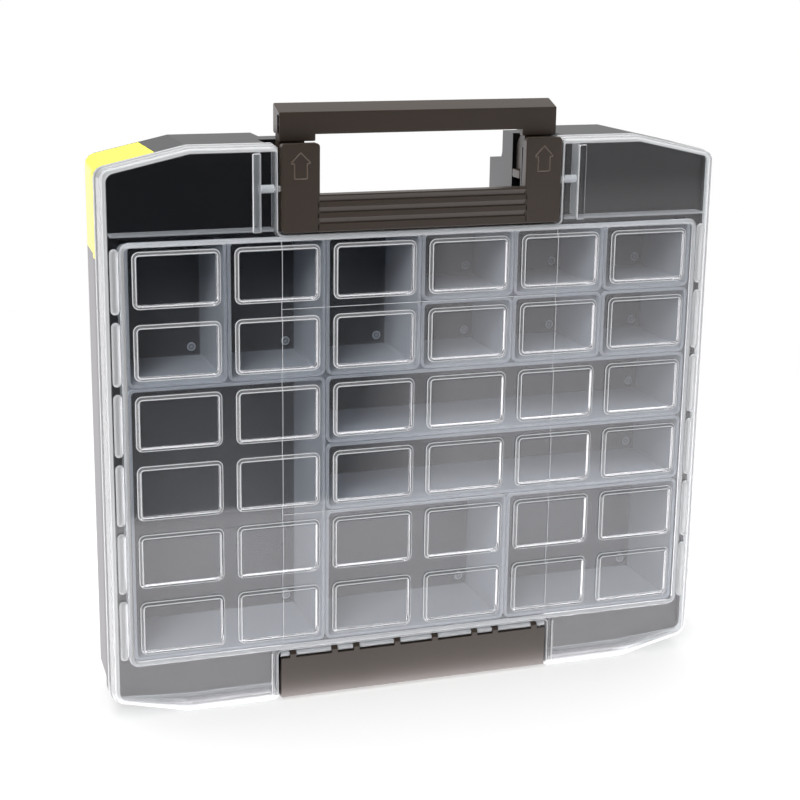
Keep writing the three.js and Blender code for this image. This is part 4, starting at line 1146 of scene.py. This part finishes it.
def lamp(name, place, target, size, watts):
    """A soft rectangular lamp, aimed at a point. Places are in metres."""
    light = bpy.data.lights.new(name, "AREA")
    light.shape = "RECTANGLE"
    light.size, light.size_y = size
    light.energy = watts
    thing = bpy.data.objects.new(name, light)
    thing.location = place
    thing.rotation_euler = (Vector(target) - Vector(place)).to_track_quat("-Z", "Y").to_euler()
    bpy.context.scene.collection.objects.link(thing)
    thing.visible_camera = False
    thing.visible_glossy = False
    thing.visible_transmission = False


# The floor's places are in metres. The floor's painted reflection glow is set by ranges: each has two places
# along Y and the glow's strengths at them

FLOOR_REACH = 8.0
PAPER_SIDE_LEAN = 0.376
PAPER_SIDE = (-0.108, 0.012)
REFLECTION_GLOW_RANGES = {
    "paper": (-2.6, -0.35, 0.45, 2.2),
    "beyond": (-1.7, -0.5, 0.02, 0.45),
    "edge": (-0.49, -0.45, 0.0, 1.0),
    "strip_rise": (-0.058, -0.046, 0.0, 9.0),
    "strip_fall": (-0.036, -0.03, 9.0, 0.0),
}
BEHIND_CASE = -0.05


def painted_reflection_glow(material, axes):
    """Painted reflection: how brightly the floor glows at a place. It is an emission that the floor shows
    only in reflections and to rays through clear plastic, though it is no lamp. The glowing paper in front of
    the case ends at an edge along X and at a leaning edge on the left, and the glow fades further out, past
    its edges faster. A narrow strip at the case's foot glows brightest, a painted highlight for the case's
    lower edges."""
    ends = ("From Min", "From Max", "To Min", "To Max")
    glow = {name: add_node(material, "ShaderNodeMapRange", dict(zip(ends, numbers)),
                            {"Value": axes.outputs["Y"]}).outputs["Result"]
             for name, numbers in REFLECTION_GLOW_RANGES.items()}
    lean = add_node(material, "ShaderNodeMath", {"operation": "MULTIPLY_ADD", 1: PAPER_SIDE_LEAN},
                    {0: axes.outputs["Y"], 2: axes.outputs["X"]})
    side = add_node(material, "ShaderNodeMapRange", dict(zip(ends, PAPER_SIDE)),
                    {"Value": lean.outputs["Value"]})
    share = add_node(material, "ShaderNodeMath", {"operation": "MAXIMUM"},
                     {0: side.outputs["Result"], 1: glow["edge"]})
    both = add_node(material, "ShaderNodeMix", {"data_type": "FLOAT"},
                    {0: share.outputs["Value"], 2: glow["beyond"], 3: glow["paper"]})
    strip = add_node(material, "ShaderNodeMath", {"operation": "MINIMUM"},
                     {0: glow["strip_rise"], 1: glow["strip_fall"]})
    return add_node(material, "ShaderNodeMath", {"operation": "ADD"},
                    {0: both.outputs[0], 1: strip.outputs["Value"]}).outputs["Value"]


def make_floor(colours):
    """A white paper floor. But for the object's shadow, the camera looks through it to the white beyond, so
    that an open lid which hangs below it still shows, and so do rays that run on to the back through clear
    plastic. Mirrored in the lid it shows a painted reflection: an emission, though it is no lamp, bright near
    the case and dark further out. Further out its own colour is painted shade: it darkens from white to near
    black, standing in for a sheet of paper in a dark studio."""
    mesh = bpy.data.meshes.new("floor")
    corners = [(x * FLOOR_REACH, y * FLOOR_REACH, 0) for x, y in ((-1, -1), (1, -1), (1, 1), (-1, 1))]
    mesh.from_pydata(corners, [], [(0, 1, 2, 3)])
    floor = bpy.data.objects.new("floor", mesh)
    bpy.context.scene.collection.objects.link(floor)
    material, output = new_material("white_paper")
    place = add_node(material, "ShaderNodeTexCoord")
    axes = add_node(material, "ShaderNodeSeparateXYZ", links={0: place.outputs["Object"]})
    apart = add_node(material, "ShaderNodeVectorMath", {"operation": "LENGTH"}, {0: place.outputs["Object"]})
    # Painted shade: the paper's own colour darkens to near black further out, for the unlit studio round it
    far_shade = add_node(material, "ShaderNodeMapRange",
                    {"From Min": 0.9, "From Max": 2.3, "To Min": 1.0, "To Max": 0.04},
                    {"Value": apart.outputs["Value"]})
    paper = add_node(material, "ShaderNodeBsdfDiffuse", {"Color": tuple(colours.floor)})
    dark = add_node(material, "ShaderNodeBsdfDiffuse", {"Color": (0.03, 0.03, 0.03, 1.0)})
    clear = add_node(material, "ShaderNodeBsdfTransparent", {"Color": (1, 1, 1, 1)})
    seen = add_node(material, "ShaderNodeMapRange",
                    {"From Min": 0.25, "From Max": 1.1, "To Min": 0.55, "To Max": 1.0},
                    {"Value": apart.outputs["Value"]})
    # Painted reflection: the floor glows for reflection and transmission rays, brightest in a strip at the
    # case's foot
    mirrored = add_node(material, "ShaderNodeEmission", {"Color": (1.0, 0.975, 1.0, 1.0)},
                        {"Strength": painted_reflection_glow(material, axes)})
    path = add_node(material, "ShaderNodeLightPath")
    behind = add_node(material, "ShaderNodeMath", {"operation": "GREATER_THAN", 1: BEHIND_CASE},
                      {0: axes.outputs["Y"]})
    through = add_node(material, "ShaderNodeMath", {"operation": "MULTIPLY"},
                       {0: path.outputs["Is Transmission Ray"], 1: behind.outputs["Value"]})
    straight = add_node(material, "ShaderNodeMath", {"operation": "MAXIMUM"},
                        {0: path.outputs["Is Camera Ray"], 1: through.outputs["Value"]})
    specular = add_node(material, "ShaderNodeMath", {"operation": "MAXIMUM"},
                        {0: path.outputs["Is Glossy Ray"], 1: path.outputs["Is Transmission Ray"]})

    def mixed(factor, first, second):
        """The second shader over the first, by the factor."""
        mix = add_node(material, "ShaderNodeMixShader", links={0: factor})
        material.node_tree.links.new(first, mix.inputs[1])
        material.node_tree.links.new(second, mix.inputs[2])
        return mix.outputs["Shader"]

    sheet = mixed(far_shade.outputs["Result"], dark.outputs["BSDF"], paper.outputs["BSDF"])
    view = mixed(seen.outputs["Result"], sheet, clear.outputs["BSDF"])
    lit = mixed(specular.outputs["Value"], sheet, mirrored.outputs["Emission"])
    finish_material(material, output, mixed(straight.outputs["Value"], lit, view))
    mesh.materials.append(material)


def make_world():
    """White to the camera, and through clear plastic for rays that run on to the back. As light and in
    reflections it is a white tent behind and beside the object, and a dim room on the camera's side."""
    world = bpy.data.worlds.new("tent")
    bpy.context.scene.world = world
    world.use_nodes = True
    world.node_tree.nodes.clear()
    place = add_node(world, "ShaderNodeTexCoord")
    axes = add_node(world, "ShaderNodeSeparateXYZ", links={0: place.outputs["Generated"]})
    dim = add_node(world, "ShaderNodeMapRange",
                   {"From Min": -0.75, "From Max": 0.1, "To Min": 0.03, "To Max": 0.9},
                   {"Value": axes.outputs["Y"]})
    tent = add_node(world, "ShaderNodeBackground", {"Color": (1, 1, 1, 1)},
                    {"Strength": dim.outputs["Result"]})
    white = add_node(world, "ShaderNodeBackground", {"Color": (1, 1, 1, 1), "Strength": 1.0})
    path = add_node(world, "ShaderNodeLightPath")
    onward = add_node(world, "ShaderNodeMath", {"operation": "GREATER_THAN", 1: 0.0},
                      {0: axes.outputs["Y"]})
    through = add_node(world, "ShaderNodeMath", {"operation": "MULTIPLY"},
                       {0: path.outputs["Is Transmission Ray"], 1: onward.outputs["Value"]})
    either = add_node(world, "ShaderNodeMath", {"operation": "MAXIMUM"},
                      {0: path.outputs["Is Camera Ray"], 1: through.outputs["Value"]})
    mix = add_node(world, "ShaderNodeMixShader", links={0: either.outputs["Value"]})
    world.node_tree.links.new(tent.outputs["Background"], mix.inputs[1])
    world.node_tree.links.new(white.outputs["Background"], mix.inputs[2])
    add_node(world, "ShaderNodeOutputWorld", links={0: mix.outputs["Shader"]})


# Operators

class CaseOperator:
    """What the operators share."""

    bl_options = {"REGISTER", "UNDO"}


class CASE_OT_stage(CaseOperator, bpy.types.Operator):
    """Set the floor, the tent, the lamps and the camera"""

    bl_idname = "case.stage"
    bl_label = "Stage"

    def execute(self, context):
        scene = context.scene
        scene.view_settings.view_transform = "Standard"
        make_camera()
        make_floor(scene.case_colours)
        make_world()
        lamp("top_lamp", (0.0, 0.5, 2.4), (0.0, 0.0, 0.0), (2.4, 2.0), 55.0)
        lamp("key_lamp", (-1.3, -1.5, 1.9), (0.0, 0.0, 0.2), (1.0, 1.0), 38.0)
        scene.cycles.max_bounces = 16
        scene.cycles.transmission_bounces = 14
        scene.cycles.transparent_max_bounces = 24
        scene.cycles.glossy_bounces = 6
        scene.cycles.diffuse_bounces = 4
        return {"FINISHED"}


class CASE_OT_lid(CaseOperator, bpy.types.Operator):
    """Make the clear lid"""

    bl_idname = "case.lid"
    bl_label = "Lid"

    def execute(self, context):
        sizes = context.scene.case_sizes
        make_lid(sizes)
        make_panel_lines(sizes)
        return {"FINISHED"}


class CASE_OT_compartments(CaseOperator, bpy.types.Operator):
    """Make the loose compartments"""

    bl_idname = "case.compartments"
    bl_label = "Compartments"

    def execute(self, context):
        sizes = context.scene.case_sizes
        for node in insert_nodes():
            make_compartment(sizes, node)
        return {"FINISHED"}


class CASE_OT_tray(CaseOperator, bpy.types.Operator):
    """Make the tray and its corner clip"""

    bl_idname = "case.tray"
    bl_label = "Tray"

    def execute(self, context):
        bevel = context.scene.case_sizes.edge_bevel
        softened("tray", "tray_shell", "moulded_polypropylene", "case", bevel)
        make_clip()
        return {"FINISHED"}


class CASE_OT_handle(CaseOperator, bpy.types.Operator):
    """Make the draw-out handle"""

    bl_idname = "case.handle"
    bl_label = "Handle"

    def execute(self, context):
        make_handle()
        return {"FINISHED"}


class CASE_OT_latch(CaseOperator, bpy.types.Operator):
    """Make the latch with its arrows"""

    bl_idname = "case.latch"
    bl_label = "Latch"

    def execute(self, context):
        make_latch()
        make_arrows()
        return {"FINISHED"}


class CASE_OT_hinge(CaseOperator, bpy.types.Operator):
    """Make the hinge plate and finish its pins"""

    bl_idname = "case.hinge"
    bl_label = "Hinge"

    def execute(self, context):
        bevel = context.scene.case_sizes.edge_bevel / 2
        softened("hinge_plate", "hinge_cover", "brown_abs", "lid", bevel)
        for node in ("lower_hinge_pin", "upper_hinge_pin"):
            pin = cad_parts[node]
            pin.data.materials.clear()
            pin.data.materials.append(material_for("drawn_steel_wire"))
        return {"FINISHED"}


class CASE_PT_panel(bpy.types.Panel):
    """Sizes, colours and the steps that build the case"""

    bl_idname = "CASE_PT_panel"
    bl_label = "Compartment case"
    bl_space_type = "VIEW_3D"
    bl_region_type = "UI"
    bl_category = "Case"

    def draw(self, context):
        column = self.layout.column()
        for operator in OPERATORS:
            column.operator(operator.bl_idname)
        for group in (context.scene.case_sizes, context.scene.case_colours):
            for name in group.__annotations__:
                column.prop(group, name)


OPERATORS = [CASE_OT_stage, CASE_OT_lid, CASE_OT_compartments, CASE_OT_tray, CASE_OT_handle, CASE_OT_latch,
             CASE_OT_hinge]
CLASSES = [CaseSizes, CaseColours, *OPERATORS, CASE_PT_panel]


def register():
    """Register the classes and hang the sizes and colours on the scene."""
    for item in CLASSES:
        bpy.utils.register_class(item)
    bpy.types.Scene.case_sizes = PointerProperty(type=CaseSizes)
    bpy.types.Scene.case_colours = PointerProperty(type=CaseColours)


def unregister():
    """Take everything off again."""
    del bpy.types.Scene.case_colours
    del bpy.types.Scene.case_sizes
    for item in reversed(CLASSES):
        bpy.utils.unregister_class(item)


def main():
    """Register the classes, then build every piece."""
    register()
    bpy.ops.case.stage()
    bpy.ops.case.tray()
    bpy.ops.case.compartments()
    bpy.ops.case.lid()
    bpy.ops.case.handle()
    bpy.ops.case.latch()
    bpy.ops.case.hinge()
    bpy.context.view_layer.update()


if __name__ == "__main__":
    main()
